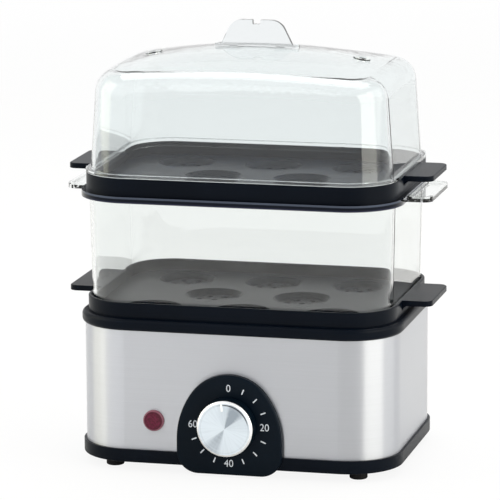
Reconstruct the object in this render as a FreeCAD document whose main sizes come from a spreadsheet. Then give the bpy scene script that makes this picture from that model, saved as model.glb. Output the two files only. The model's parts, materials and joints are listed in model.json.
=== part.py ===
import FreeCAD, Part
import math
import os
import Sketcher

# Two-tier electric egg boiler. Frame: +Z up, the table top at z = 0, the front at -Y.
# Every sub-part is drawn about the middle of the steel housing and then moved along Y by
# middleY, so that the origin lies under the middle of the whole object.

doc = FreeCAD.newDocument("EggBoiler")

# Driving dimensions in millimetres: alias, value, what it is.
driving = [
    ("bandX", 93.0, "half width of the steel band"),
    ("bandY", 68.0, "half depth of the steel band"),
    ("bandRound", 30.3, "corner radius of the steel band"),
    ("bandGauge", 0.8, "steel sheet thickness"),
    ("bandHeight", 69.6, "visible height of the steel band"),
    ("bandTuck", 2.2, "how far the band runs into the groove at each edge"),
    ("grooveGap", 0.2, "clearance on each side of the band in its grooves"),
    ("footHeight", 5.1, "height of the feet below the base plate"),
    ("footRadius", 5.2, "radius of a foot"),
    ("footX", 72.2, "feet either side of the middle"),
    ("footY", 55.0, "feet in front of and behind the middle"),
    ("footStem", 2.3, "radius of the stem pressed through the base plate"),
    ("footBarb", 2.9, "radius of the barb above the base plate"),
    ("footBarbHeight", 1.8, "height of the barb"),
    ("footEdge", 0.9, "rounding of a foot's lower edge"),
    ("stemGap", 0.1, "clearance round a foot's stem"),
    ("plateHeight", 7.7, "height of the base plate's outer wall"),
    ("plateProud", 1.6, "base plate beyond the band"),
    ("plateFloor", 2.5, "floor thickness of the base plate"),
    ("plateEdge", 1.0, "rounding of the base plate's edges"),
    ("ribThick", 2.0, "thickness of the locating ribs inside the band"),
    ("ribRise", 3.0, "height of the base plate's locating rib above its wall"),
    ("postX", 62.0, "screw posts either side of the middle"),
    ("postY", 58.5, "screw posts in front of and behind the middle"),
    ("postRadius", 4.8, "radius of a base plate post"),
    ("postTop", 30.0, "height where the posts meet the rim's bosses"),
    ("bossRadius", 4.0, "radius of a rim boss"),
    ("screwShank", 1.7, "radius of a base screw"),
    ("screwHead", 3.1, "radius of a base screw's head"),
    ("screwHeadHeight", 2.2, "height of a base screw's head"),
    ("screwLength", 16.0, "length of a base screw's shank"),
    ("screwGap", 0.05, "clearance round a screw or stud in its thread"),
    ("headGap", 0.5, "clearance round a screw head in its counterbore"),
    ("headSeat", 4.0, "material of a post above its counterbore"),
    ("slotWidth", 3.0, "width of a cooling slot in the base plate"),
    ("slotLength", 34.0, "length of a cooling slot in the base plate"),
    ("slotCorner", 1.0, "corner radius of a cooling slot"),
    ("slotPitch", 7.0, "spacing of the cooling slots"),
    ("slotCount", 7, "cooling slots in the row"),
    ("rimHeight", 7.1, "visible height of the top rim"),
    ("rimProud", 1.8, "top rim beyond the band"),
    ("rimEdge", 2.4, "rounding of the top rim's outer edges"),
    ("rimDeck", 2.5, "thickness of the rim's top deck"),
    ("rimInset", 6.0, "mouth of the rim inside the band's outline"),
    ("ledgeDrop", 11.0, "pan ledge below the top of the rim"),
    ("ledgeThick", 2.0, "thickness of the pan ledge"),
    ("ledgeWidth", 7.5, "width of the pan ledge"),
    ("panFlangeThick", 1.2, "thickness of the pan's flange"),
    ("panFlangeGap", 0.6, "pan flange inside the rim's mouth"),
    ("panGap", 0.9, "pan bowl inside the ledge"),
    ("panWall", 1.2, "wall of the pan's bowl"),
    ("panDepth", 10.9, "depth of the water pan"),
    ("panRound", 3.0, "rounding under the pan"),
    ("gasketThick", 1.2, "thickness of the pan gasket"),
    ("studX", 40.0, "pan studs either side of the middle"),
    ("studY", 58.3, "pan studs in front of and behind the middle"),
    ("studRadius", 2.0, "radius of a pan stud"),
    ("studLength", 9.4, "length of a pan stud below the flange"),
    ("nutRadius", 4.0, "corner radius of a pan nut"),
    ("nutHeight", 3.2, "height of a pan nut"),
    ("elementRadius", 3.3, "radius of the heating element's sheath"),
    ("elementX", 52.0, "heating element's sides from the middle"),
    ("elementY", 34.0, "heating element's front and back runs from the middle"),
    ("elementBend", 13.0, "bend radius of the heating element"),
    ("elementGate", 12.0, "half the gap between the element's ends"),
    ("elementTail", 14.0, "length of the element's ends beyond its back run"),
    ("clampThick", 1.5, "thickness of the strips under the element"),
    ("clampWidth", 16.0, "width of the strips under the element"),
    ("clampOver", 6.0, "clamp strip beyond the element's side runs"),
    ("middleStud", 2.5, "radius of the pan's middle stud"),
    ("middleStudLength", 14.8, "length of the pan's middle stud"),
    ("middleNut", 4.6, "corner radius of the middle nut"),
    ("middleNutHeight", 4.0, "height of the middle nut"),
    ("thermostatY", 20.0, "thermostat and fuse from the middle"),
    ("thermostatCap", 8.2, "radius of the thermostat's cap"),
    ("thermostatBody", 7.0, "radius of the thermostat's body"),
    ("thermostatBodyHeight", 7.0, "height of the thermostat's body"),
    ("bladeWidth", 4.8, "width of a push-on blade"),
    ("bladeThick", 0.8, "thickness of a push-on blade"),
    ("bladeLength", 7.0, "length of a push-on blade"),
    ("bladeApart", 4.0, "blades either side of the middle"),
    ("fuseRadius", 2.2, "radius of the thermal fuse"),
    ("fuseLength", 12.0, "length of the thermal fuse"),
    ("panelHalf", 31.0, "half width of the control panel"),
    ("panelTop", 60.1, "top of the control panel's arch"),
    ("panelCrown", 27.0, "radius of the arch's top"),
    ("panelSpring", 21.0, "height where the arch leaves the straight sides"),
    ("panelFoot", 1.5, "bottom of the control panel"),
    ("panelCorner", 12.5, "lower corner radius of the control panel"),
    ("panelProud", 4.0, "control panel in front of the band"),
    ("panelSkin", 2.3, "thickness of the control panel's face"),
    ("panelEdge", 1.2, "rounding of the control panel's front edge"),
    ("panelBossX", 24.5, "panel screw bosses either side of the middle"),
    ("panelBossZ", 22.0, "height of the panel screw bosses"),
    ("panelBoss", 3.4, "radius of a panel boss"),
    ("panelBite", 0.8, "how far the panel screws run into the panel's face"),
    ("dialZ", 31.0, "height of the dial's centre"),
    ("timerScrewPitch", 11.0, "timer screws above and below the dial's centre"),
    ("smallShank", 1.5, "radius of a small screw"),
    ("smallHead", 2.6, "radius of a small screw's head"),
    ("smallHeadHeight", 1.7, "height of a small screw's head"),
    ("smallLength", 6.0, "length of a small screw's shank"),
    ("holeGap", 0.3, "clearance round a screw that passes through"),
    ("timerHalf", 20.0, "half width of the timer's case"),
    ("timerDepth", 22.0, "depth of the timer's case"),
    ("timerWall", 1.8, "wall of the timer's case"),
    ("timerFace", 4.0, "thickness of the timer's front"),
    ("timerCoverThick", 1.6, "thickness of the timer's cover"),
    ("bushRadius", 4.8, "outer radius of the timer's shaft bush"),
    ("bushGap", 0.3, "clearance round the bush in the band"),
    ("shaftRadius", 3.0, "radius of the timer shaft"),
    ("shaftGap", 0.05, "running clearance of the timer shaft"),
    ("camRadius", 11.0, "radius of the timer's cam"),
    ("camThick", 3.0, "thickness of the timer's cam"),
    ("camBack", 8.0, "cam in front of the timer's cover"),
    ("camNotch", 3.0, "width of the cam's notch"),
    ("contactGap", 0.6, "contact blades clear of the cam"),
    ("contactThick", 0.5, "thickness of a contact blade"),
    ("contactHalf", 2.5, "half width of a contact blade"),
    ("knobRadius", 16.5, "radius of the knob at its back"),
    ("knobDepth", 7.6, "depth of the knob's black body"),
    ("knobWall", 1.8, "wall of the knob"),
    ("knobGap", 1.0, "knob in front of the control panel"),
    ("knobHub", 5.4, "radius of the knob's hub"),
    ("knobFlat", 2.2, "flat of the shaft from its axis"),
    ("capRadius", 16.25, "radius of the knob's aluminium cap"),
    ("capThick", 1.7, "thickness of the knob's cap"),
    ("capChamfer", 1.1, "bright bevel round the knob's cap"),
    ("capDish", 0.3, "depth of the cap's turned face"),
    ("lensX", 45.2, "indicator lens left of the middle"),
    ("lensZ", 30.5, "height of the indicator lens"),
    ("lensRadius", 6.15, "radius of the lens"),
    ("lensProud", 1.7, "lens in front of the band"),
    ("lensEdge", 0.8, "rounding of the lens"),
    ("lensBarrel", 4.8, "radius of the lens barrel"),
    ("lensBarrelLength", 10.0, "length of the lens barrel"),
    ("lensBore", 3.6, "bore of the lens barrel"),
    ("clipRadius", 8.0, "radius of the lens clip"),
    ("clipThick", 0.6, "thickness of the lens clip"),
    ("bulbRadius", 2.7, "radius of the neon bulb"),
    ("bulbLength", 8.0, "length of the neon bulb"),
    ("bulbRound", 2.2, "rounding of the bulb's tip"),
    ("bulbPlug", 3.0, "length of the bulb's plug behind the barrel"),
    ("glandX", 45.0, "cord gland right of the middle"),
    ("glandZ", 26.0, "height of the cord gland"),
    ("glandFlange", 8.2, "radius of the gland's flange"),
    ("glandFlangeThick", 2.5, "thickness of the gland's flange"),
    ("glandSleeve", 6.0, "radius of the gland's sleeve"),
    ("glandTip", 5.0, "radius of the sleeve's tip"),
    ("glandReach", 10.0, "gland behind the band"),
    ("glandNeck", 6.2, "radius of the gland's neck in the band"),
    ("glandInner", 5.0, "gland inside the band"),
    ("glandBore", 3.5, "bore for a round mains cord"),
    ("glandGap", 0.2, "clearance round the gland's neck"),
    ("blockX", 25.0, "terminal block right of the middle"),
    ("blockY", 44.0, "terminal block behind the middle"),
    ("blockHalfX", 15.0, "half width of the terminal block"),
    ("blockHalfY", 7.0, "half depth of the terminal block"),
    ("blockHeight", 12.0, "height of the terminal block"),
    ("blockPole", 10.0, "spacing of the terminal screws"),
    ("poleRadius", 2.2, "radius of a terminal screw"),
    ("poleDepth", 6.0, "depth of a terminal screw"),
    ("wireRadius", 1.1, "radius of an internal wire"),
    ("wireBend", 4.0, "bend radius of an internal wire"),
    ("wireApart", 1.2, "half the spacing of two wires on one terminal"),
    ("wireRun", 9.0, "straight run of a wire off its terminal"),
    ("wireSide", 12.0, "wires beside the fuse and the element's clamp"),
    ("wireRiseBack", 5.0, "where the live wire starts to rise, behind the middle"),
    ("wireRiseFront", 20.0, "where the live wire has risen, in front of the middle"),
    ("wireLampTurn", 34.0, "where the lamp's wire turns to the timer, in front of the middle"),
    ("wireReturnTurn", 10.0, "where the lamp's return turns to the block, in front of the middle"),
    ("wireBlockRun", 16.0, "straight run of a wire in front of the terminal block"),
    ("nestGap", 0.4, "clearance of a skirt in the mouth it drops into"),
    ("skirtDepth", 3.0, "depth of a nesting skirt"),
    ("skirtThick", 1.6, "thickness of a nesting skirt"),
    ("trayWall", 2.0, "wall of an egg tray"),
    ("trayEdge", 0.6, "rounding of an egg tray's top edge"),
    ("deckThick", 2.0, "deck thickness of an egg tray"),
    ("lowerInset", 1.95, "lower tray inside the band's outline"),
    ("lowerHeight", 8.7, "wall height of the lower tray"),
    ("upperInset", 1.5, "upper tray inside the band's outline"),
    ("upperHeight", 10.2, "wall height of the upper tray"),
    ("seatX", 53.0, "spacing of the egg seats in a row"),
    ("seatY", 40.0, "front and back seat rows from the middle"),
    ("seatRadius", 17.0, "radius of an egg seat"),
    ("seatFloor", 13.5, "radius of an egg seat's floor"),
    ("seatDrop", 3.4, "depth of an egg seat"),
    ("cupWall", 1.6, "floor thickness of an egg seat"),
    ("steamHole", 1.8, "radius of a steam hole"),
    ("steamRing", 9.0, "radius of the ring of steam holes"),
    ("lowerHandle", 25.2, "half width of the lower tray's handles"),
    ("upperHandle", 23.3, "half width of the upper tray's handles"),
    ("handleOver", 15.1, "tips of the trays' and the chamber's handles beyond the band"),
    ("handleThick", 3.1, "thickness of a handle"),
    ("handleCorner", 5.0, "corner radius of a handle's tip"),
    ("handleGusset", 3.5, "rounding under a handle where it meets the wall"),
    ("chamberInset", 4.5, "foot of the chamber inside the band's outline"),
    ("chamberHeight", 68.8, "height of the chamber"),
    ("chamberDraft", 1.3, "growth of the chamber from foot to mouth"),
    ("clearWall", 2.0, "wall of the clear parts"),
    ("flangeProud", 1.4, "chamber flange beyond the band"),
    ("flangeThick", 2.0, "thickness of the chamber's flange"),
    ("flangeLip", 1.7, "depth of the flange's turned lip"),
    ("flangeLipThick", 1.5, "thickness of the flange's turned lip"),
    ("chamberHandle", 26.5, "half width of the chamber's handles"),
    ("chamberHandleDrop", 1.1, "chamber handles below the top of the flange"),
    ("chamberHandleRim", 2.2, "bead round the chamber's handles"),
    ("chamberHandleDish", 1.3, "depth of the dish in the chamber's handles"),
    ("lidHeight", 68.8, "height of the lid's crown above the tray"),
    ("lidInset", 1.3, "lid flange inside the band's outline"),
    ("lidFlange", 1.8, "thickness of the lid's flange"),
    ("lidDraft", 4.8, "how much the lid narrows towards its top"),
    ("lidShoulder", 13.4, "rounding of the lid's shoulders"),
    ("crownRise", 12.2, "swell of the lid's top above its level edges"),
    ("ventX", 62.0, "the lid's steam vents either side of the middle"),
    ("ventCollar", 5.0, "radius of a steam vent's collar"),
    ("ventBore", 2.8, "radius of a steam vent's hole"),
    ("ventRise", 0.9, "height of a steam vent's collar"),
    ("gripHalf", 22.6, "half width of the lid grip under its foot"),
    ("gripShoulder", 14.1, "half width of the lid grip at its top"),
    ("gripHeight", 15.1, "height of the lid grip"),
    ("gripThick", 2.8, "thickness of the lid grip"),
    ("gripRound", 9.0, "upper corner radius of the lid grip"),
    ("gripNotch", 2.35, "half width of the grip's notch"),
    ("gripNotchDepth", 2.5, "depth of the grip's notch"),
    ("gripFoot", 25.0, "half length of the grip's foot"),
    ("gripFootHalf", 2.8, "half width of the grip's foot"),
    ("gripFootThick", 1.1, "thickness of the grip's foot"),
    ("gripFootRound", 2.4, "rounding of the ends of the grip's foot"),
    ("gripSeatGap", 0.05, "clearance of the grip's foot over the lid's top"),
    ("gripLegX", 14.0, "grip legs either side of the middle"),
    ("gripLegHalf", 2.5, "half width of a grip leg"),
    ("gripLegGap", 0.2, "clearance round a grip leg in the lid"),
    ("gripBarb", 1.4, "height of a grip leg's barb"),
    ("gripBarbOver", 0.4, "grip leg's barb beyond its slot"),
]

sheet = doc.addObject("Spreadsheet::Sheet", "Sizes")
for row, (alias, value, note) in enumerate(driving, start=1):
    sheet.set(f"A{row}", alias)
    sheet.set(f"B{row}", str(value))
    sheet.setAlias(f"B{row}", alias)
    sheet.set(f"C{row}", note)
doc.recompute()


class Size:
    # A number with the sheet expression that gives it. Sketches start from the number, and
    # setExpression binds them to the sheet by the text.
    def __init__(self, value, text):
        self.value = value
        self.text = text

    def __add__(self, other):
        other = sized(other)
        return Size(self.value + other.value, f"({self.text} + {other.text})")

    def __sub__(self, other):
        other = sized(other)
        return Size(self.value - other.value, f"({self.text} - {other.text})")

    def __mul__(self, other):
        other = sized(other)
        return Size(self.value * other.value, f"({self.text} * {other.text})")

    def __truediv__(self, other):
        other = sized(other)
        return Size(self.value / other.value, f"({self.text} / {other.text})")

    def __radd__(self, other):
        return sized(other) + self

    def __rsub__(self, other):
        return sized(other) - self

    def __rmul__(self, other):
        return sized(other) * self

    def __neg__(self):
        return Size(-self.value, f"(-1 * {self.text})")


def sized(number):
    if isinstance(number, Size):
        return number
    return Size(float(number), repr(float(number)))


def slope(rise, run):
    # The angle whose tangent is rise over run, in degrees.
    return Size(math.degrees(math.atan2(rise.value, run.value)), f"atan({rise.text} / {run.text})")


class Sheet:
    def __getattr__(self, alias):
        return Size(float(sheet.get(alias)), f"Sizes.{alias}")


d = Sheet()

# Heights above the table, from the feet up.
plateZ = d.footHeight
floorZ = plateZ + d.plateFloor
bandZ = plateZ + d.plateHeight
rimZ = bandZ + d.bandHeight
trayZ = rimZ + d.rimHeight
chamberZ = trayZ + d.deckThick
upperZ = chamberZ + d.chamberHeight
lidZ = upperZ + d.upperHeight
crownZ = lidZ + d.lidHeight
ledgeZ = trayZ - d.ledgeDrop
ledgeUnder = ledgeZ - d.ledgeThick
panFlangeZ = ledgeZ + d.gasketThick
panTop = panFlangeZ + d.panFlangeThick
panUnder = panTop - d.panDepth - d.panWall
elementZ = panUnder - d.elementRadius
clampZ = elementZ - d.elementRadius - d.clampThick
bracketZ = clampZ - d.clampThick

# The tips of the tab handles, left and right.
handleTip = d.bandX + d.handleOver

# The foot of the lid's walls, inside the band's outline and from the middle.
lidSeat = d.upperInset + d.trayWall + d.nestGap
lidHalfX = d.bandX - lidSeat
lidHalfY = d.bandY - lidSeat

# Distances forward of the housing's middle, towards -Y.
insideFront = d.bandY - d.bandGauge
panelFront = d.bandY + d.panelProud
knobBack = panelFront + d.knobGap
capBack = knobBack + d.knobDepth
capFront = capBack + d.capThick

# Half the difference between the reach in front and behind puts the origin in the middle.
middleY = (capFront - d.bandY - d.glandReach) / 2


def bind(thing, prop, size):
    thing.setExpression(prop, sized(size).text)


def newBody(label):
    body = doc.addObject("PartDesign::Body", label)
    body.Label = label
    bind(body, "Placement.Base.y", middleY)
    return body


class Outline:
    # A sketch on one of its body's own planes. level is the plane's height for XY_Plane, its
    # distance towards -Y for XZ_Plane and towards +X for YZ_Plane.
    def __init__(self, body, plane, level):
        self.sketch = body.newObject("Sketcher::SketchObject", body.Label + "_sketch")
        support = next(item for item in body.Origin.OriginFeatures if item.Role == plane)
        self.sketch.AttachmentSupport = [(support, "")]
        self.sketch.MapMode = "FlatFace"
        bind(self.sketch, "AttachmentOffset.Base.z", level)

    def hold(self, kind, where, size):
        size = sized(size)
        index = self.sketch.addConstraint(Sketcher.Constraint(kind, *where, size.value))
        bind(self.sketch, f"Constraints[{index}]", size)

    def place(self, geometry, point, x, y):
        self.hold("DistanceX", (-1, 1, geometry, point), x)
        self.hold("DistanceY", (-1, 1, geometry, point), y)

    def join(self, first, firstPoint, second, secondPoint):
        self.sketch.addConstraint(Sketcher.Constraint("Coincident", first, firstPoint, second, secondPoint))

    def line(self, start, end):
        corners = [FreeCAD.Vector(sized(x).value, sized(y).value, 0) for x, y in (start, end)]
        return self.sketch.addGeometry(Part.LineSegment(*corners))

    def arc(self, x, y, radius, fromAngle, toAngle):
        centre = FreeCAD.Vector(sized(x).value, sized(y).value, 0)
        circle = Part.Circle(centre, FreeCAD.Vector(0, 0, 1), sized(radius).value)
        return self.sketch.addGeometry(Part.ArcOfCircle(circle, fromAngle, toAngle))

    def circle(self, x, y, radius):
        centre = FreeCAD.Vector(sized(x).value, sized(y).value, 0)
        circle = Part.Circle(centre, FreeCAD.Vector(0, 0, 1), sized(radius).value)
        index = self.sketch.addGeometry(circle)
        self.place(index, 3, x, y)
        self.hold("Radius", (index,), radius)

    def circles(self, places, radius):
        for x, y in places:
            self.circle(x, y, radius)

    def loop(self, corners):
        # A closed outline of straight lines. Each corner is (x, y, radius), and a radius of
        # None leaves it sharp. A corner with a radius joins a level line and an upright one.
        count = len(corners)
        values = [(sized(x).value, sized(y).value) for x, y, radius in corners]

        def heading(index):
            ahead = values[(index + 1) % count]
            here = values[index % count]
            along = ahead[0] - here[0]
            up = ahead[1] - here[1]
            length = math.hypot(along, up)
            return round(along / length), round(up / length)

        starts = []
        ends = []
        for index, (x, y, radius) in enumerate(corners):
            inX, inY = heading(index - 1)
            outX, outY = heading(index)
            trim = 0 if radius is None else radius
            ends.append((x - inX * trim, y - inY * trim))
            starts.append((x + outX * trim, y + outY * trim))
        lines = [self.line(starts[index], ends[(index + 1) % count]) for index in range(count)]
        for index, (x, y, radius) in enumerate(corners):
            before = lines[index - 1]
            after = lines[index]
            self.place(after, 1, *starts[index])
            if radius is None:
                self.join(before, 2, after, 1)
                continue
            self.place(before, 2, *ends[index])
            inX, inY = heading(index - 1)
            outX, outY = heading(index)
            leftTurn = inX * outY - inY * outX > 0
            centreX = x - inX * radius + outX * radius
            centreY = y - inY * radius + outY * radius
            first, last = (ends[index], starts[index]) if leftTurn else (starts[index], ends[index])
            angles = [
                math.atan2(sized(py).value - sized(centreY).value, sized(px).value - sized(centreX).value)
                for px, py in (first, last)
            ]
            if angles[1] < angles[0]:
                angles[1] += 2 * math.pi
            bend = self.arc(centreX, centreY, radius, *angles)
            self.join(bend, 1 if leftTurn else 2, before, 2)
            self.join(bend, 2 if leftTurn else 1, after, 1)
            self.hold("Radius", (bend,), radius)

    def box(self, halfX, halfY, radius=None, x=0, y=0):
        self.loop([
            (x - halfX, y - halfY, radius),
            (x + halfX, y - halfY, radius),
            (x + halfX, y + halfY, radius),
            (x - halfX, y + halfY, radius),
        ])

    def housing(self, growth):
        # The housing's rounded rectangle, grown outwards by growth.
        self.box(d.bandX + growth, d.bandY + growth, d.bandRound + growth)

    def ring(self, outer, inner):
        self.housing(outer)
        self.housing(inner)


def settle(body, feature):
    doc.recompute()
    if "Invalid" in feature.State or "Error" in feature.State:
        raise RuntimeError(f"{body.Label}: {feature.Name} can't be built")
    return feature


def pad(body, outline, length, taper=None, reverse=False, both=False):
    feature = body.newObject("PartDesign::Pad", body.Label + "_pad")
    feature.Profile = outline.sketch
    bind(feature, "Length", length)
    feature.Reversed = reverse
    feature.Midplane = both
    if taper is not None:
        bind(feature, "TaperAngle", taper)
    return settle(body, feature)


def pocket(body, outline, length, taper=None, reverse=False, both=False):
    before = body.Shape.Volume
    feature = body.newObject("PartDesign::Pocket", body.Label + "_pocket")
    feature.Profile = outline.sketch
    bind(feature, "Length", length)
    feature.Reversed = reverse
    feature.Midplane = both
    if taper is not None:
        bind(feature, "TaperAngle", taper)
    settle(body, feature)
    if body.Shape.Volume >= before:
        raise RuntimeError(f"{body.Label}: {feature.Name} cuts nothing")
    return feature


def dress(body, kind, size, choose):
    # A fillet or chamfer on the edges of the body's last feature that choose picks.
    base = body.Tip
    names = [f"Edge{index}" for index, edge in enumerate(base.Shape.Edges, start=1) if choose(edge)]
    if not names:
        raise RuntimeError(f"{body.Label}: no edge to dress")
    feature = body.newObject(f"PartDesign::{kind}", body.Label + "_" + kind.lower())
    feature.Base = (base, names)
    bind(feature, "Radius" if kind == "Fillet" else "Size", size)
    return settle(body, feature)


def level(edge, height):
    box = edge.BoundBox
    return abs(box.ZMin - height.value) < 0.01 and abs(box.ZMax - height.value) < 0.01


def forward(edge, distance):
    box = edge.BoundBox
    return abs(box.YMin + distance.value) < 0.01 and abs(box.YMax + distance.value) < 0.01


def pairs(x, y):
    return [(-x, -y), (x, -y), (-x, y), (x, y)]


def makeBasePlate():
    body = newBody("base_plate")
    grooveOut = d.grooveGap
    ribOut = -(d.bandGauge + d.grooveGap)
    ribIn = ribOut - d.ribThick
    outline = Outline(body, "XY_Plane", plateZ)
    outline.housing(d.plateProud)
    pad(body, outline, d.plateHeight)
    dress(body, "Fillet", d.plateEdge, lambda edge: level(edge, plateZ))
    outline = Outline(body, "XY_Plane", bandZ)
    outline.housing(ribOut)
    pad(body, outline, d.ribRise)
    ribTop = bandZ + d.ribRise
    outline = Outline(body, "XY_Plane", ribTop)
    outline.housing(ribIn)
    pocket(body, outline, ribTop - floorZ)
    outline = Outline(body, "XY_Plane", bandZ)
    outline.ring(grooveOut, ribOut)
    pocket(body, outline, d.bandTuck)
    # The rib is cut away behind the dial, where the timer's case stands.
    outline = Outline(body, "XY_Plane", ribTop)
    reliefHalf = d.timerHalf + d.ribThick
    outline.loop([
        (-reliefHalf, -(insideFront + d.grooveGap), None),
        (reliefHalf, -(insideFront + d.grooveGap), None),
        (reliefHalf, -(insideFront - d.ribThick * 2), None),
        (-reliefHalf, -(insideFront - d.ribThick * 2), None),
    ])
    pocket(body, outline, ribTop - floorZ)
    posts = pairs(d.postX, d.postY)
    outline = Outline(body, "XY_Plane", floorZ)
    outline.circles(posts, d.postRadius)
    pad(body, outline, d.postTop - floorZ)
    outline = Outline(body, "XY_Plane", d.postTop)
    outline.circles(posts, d.screwShank + d.holeGap)
    pocket(body, outline, d.postTop - plateZ)
    outline = Outline(body, "XY_Plane", plateZ)
    outline.circles(posts, d.screwHead + d.headGap)
    pocket(body, outline, d.postTop - d.headSeat - plateZ, reverse=True)
    outline = Outline(body, "XY_Plane", floorZ)
    outline.circles(pairs(d.footX, d.footY), d.footStem + d.stemGap)
    pocket(body, outline, d.plateFloor)
    outline = Outline(body, "XY_Plane", floorZ)
    firstSlot = -(d.slotCount - 1) * d.slotPitch / 2
    outline.box(d.slotWidth / 2, d.slotLength / 2, d.slotCorner, x=firstSlot)
    slot = pocket(body, outline, d.plateFloor)
    row = body.newObject("PartDesign::LinearPattern", "base_plate_vents")
    row.Originals = [slot]
    row.Direction = (slot.Profile[0], ["H_Axis"])
    bind(row, "Occurrences", d.slotCount)
    bind(row, "Length", (d.slotCount - 1) * d.slotPitch)
    body.Tip = row
    settle(body, row)
    return body


def makeFeet():
    body = newBody("rubber_feet")
    places = pairs(d.footX, d.footY)
    outline = Outline(body, "XY_Plane", 0)
    outline.circles(places, d.footRadius)
    pad(body, outline, d.footHeight)
    dress(body, "Fillet", d.footEdge, lambda edge: level(edge, sized(0)))
    outline = Outline(body, "XY_Plane", plateZ)
    outline.circles(places, d.footStem)
    pad(body, outline, d.plateFloor)
    outline = Outline(body, "XY_Plane", floorZ)
    outline.circles(places, d.footBarb)
    pad(body, outline, d.footBarbHeight, taper=-slope(d.footBarb - d.footStem, d.footBarbHeight))
    return body


def makeBand():
    body = newBody("housing_band")
    outline = Outline(body, "XY_Plane", bandZ - d.bandTuck)
    outline.ring(sized(0), -d.bandGauge)
    pad(body, outline, d.bandHeight + d.bandTuck * 2)
    # Openings in the front sheet: the shaft bush, the screws and the lamp.
    outline = Outline(body, "XZ_Plane", insideFront - d.bandGauge)
    outline.circle(0, d.dialZ, d.bushRadius + d.bushGap)
    outline.circles([(0, d.dialZ - d.timerScrewPitch), (0, d.dialZ + d.timerScrewPitch)],
                    d.smallShank + d.holeGap)
    outline.circles([(-d.panelBossX, d.panelBossZ), (d.panelBossX, d.panelBossZ)],
                    d.smallShank + d.holeGap)
    outline.circle(-d.lensX, d.lensZ, d.lensBarrel + d.bushGap)
    pocket(body, outline, d.bandGauge * 3, reverse=True)
    # The cord gland's opening in the back sheet.
    outline = Outline(body, "XZ_Plane", -(d.bandY - d.bandGauge * 2))
    outline.circle(d.glandX, d.glandZ, d.glandNeck + d.glandGap)
    pocket(body, outline, d.bandGauge * 3)
    return body


def makeTopRim():
    body = newBody("top_rim")
    mouth = -d.rimInset
    ribOut = -(d.bandGauge + d.grooveGap)
    outline = Outline(body, "XY_Plane", rimZ)
    outline.housing(d.rimProud)
    pad(body, outline, d.rimHeight)
    dress(body, "Fillet", d.rimEdge, lambda edge: level(edge, rimZ) or level(edge, trayZ))
    outline = Outline(body, "XY_Plane", ledgeUnder)
    outline.housing(mouth + d.ribThick)
    pad(body, outline, rimZ - ledgeUnder)
    outline = Outline(body, "XY_Plane", trayZ)
    outline.housing(mouth)
    pocket(body, outline, d.ledgeDrop)
    outline = Outline(body, "XY_Plane", ledgeZ)
    outline.housing(mouth - d.ledgeWidth)
    pocket(body, outline, d.ledgeThick)
    outline = Outline(body, "XY_Plane", rimZ)
    outline.ring(d.grooveGap, ribOut)
    pocket(body, outline, d.bandTuck, reverse=True)
    outline = Outline(body, "XY_Plane", rimZ)
    outline.ring(ribOut - d.ribThick / 2, mouth + d.ribThick)
    pocket(body, outline, d.rimHeight - d.rimDeck, reverse=True)
    posts = pairs(d.postX, d.postY)
    outline = Outline(body, "XY_Plane", d.postTop)
    outline.circles(posts, d.bossRadius)
    pad(body, outline, ledgeUnder - d.postTop)
    outline = Outline(body, "XY_Plane", d.postTop)
    outline.circles(posts, d.screwShank + d.screwGap)
    pocket(body, outline, d.screwLength, reverse=True)
    outline = Outline(body, "XY_Plane", ledgeZ)
    outline.circles(pairs(d.studX, d.studY), d.studRadius + d.stemGap)
    pocket(body, outline, d.ledgeThick)
    return body


def makeBaseScrews():
    body = newBody("base_screws")
    places = pairs(d.postX, d.postY)
    seat = d.postTop - d.headSeat
    outline = Outline(body, "XY_Plane", seat - d.screwHeadHeight)
    outline.circles(places, d.screwHead)
    pad(body, outline, d.screwHeadHeight)
    outline = Outline(body, "XY_Plane", seat)
    outline.circles(places, d.screwShank)
    pad(body, outline, d.screwLength)
    return body


def makeGasket():
    body = newBody("pan_gasket")
    outline = Outline(body, "XY_Plane", ledgeZ)
    outline.ring(-(d.rimInset + d.panFlangeGap), -(d.rimInset + d.ledgeWidth - d.panFlangeGap))
    pad(body, outline, d.gasketThick)
    outline = Outline(body, "XY_Plane", ledgeZ)
    outline.circles(pairs(d.studX, d.studY), d.studRadius + d.stemGap)
    pocket(body, outline, d.gasketThick, reverse=True)
    return body


def makePan():
    body = newBody("water_pan")
    bowl = -(d.rimInset + d.ledgeWidth + d.panGap)
    outline = Outline(body, "XY_Plane", panUnder)
    outline.housing(bowl)
    pad(body, outline, panFlangeZ - panUnder)
    dress(body, "Fillet", d.panRound, lambda edge: level(edge, panUnder))
    outline = Outline(body, "XY_Plane", panFlangeZ)
    outline.housing(-(d.rimInset + d.panFlangeGap))
    pad(body, outline, d.panFlangeThick)
    outline = Outline(body, "XY_Plane", panTop)
    outline.housing(bowl - d.panWall)
    pocket(body, outline, d.panDepth)
    outline = Outline(body, "XY_Plane", panFlangeZ)
    outline.circles(pairs(d.studX, d.studY), d.studRadius)
    pad(body, outline, d.studLength, reverse=True)
    outline = Outline(body, "XY_Plane", panUnder)
    outline.circle(0, 0, d.middleStud)
    pad(body, outline, d.middleStudLength, reverse=True)
    return body


def hexagon(outline, x, y, radius):
    # Six sides, held by their corners: the corner radius and half of it, and its height.
    height = radius * math.sin(math.pi / 3)
    corners = [
        (x + radius, y),
        (x + radius / 2, y + height),
        (x - radius / 2, y + height),
        (x - radius, y),
        (x - radius / 2, y - height),
        (x + radius / 2, y - height),
    ]
    sides = [outline.line(corners[index], corners[(index + 1) % 6]) for index in range(6)]
    for index, side in enumerate(sides):
        outline.place(side, 1, *corners[index])
        outline.join(sides[index - 1], 2, side, 1)


def makeNuts(label, places, top, height, radius, stud):
    body = newBody(label)
    outline = Outline(body, "XY_Plane", top)
    for x, y in places:
        hexagon(outline, x, y, radius)
        outline.circle(x, y, stud + d.screwGap)
    pad(body, outline, height, reverse=True)
    return body


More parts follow.
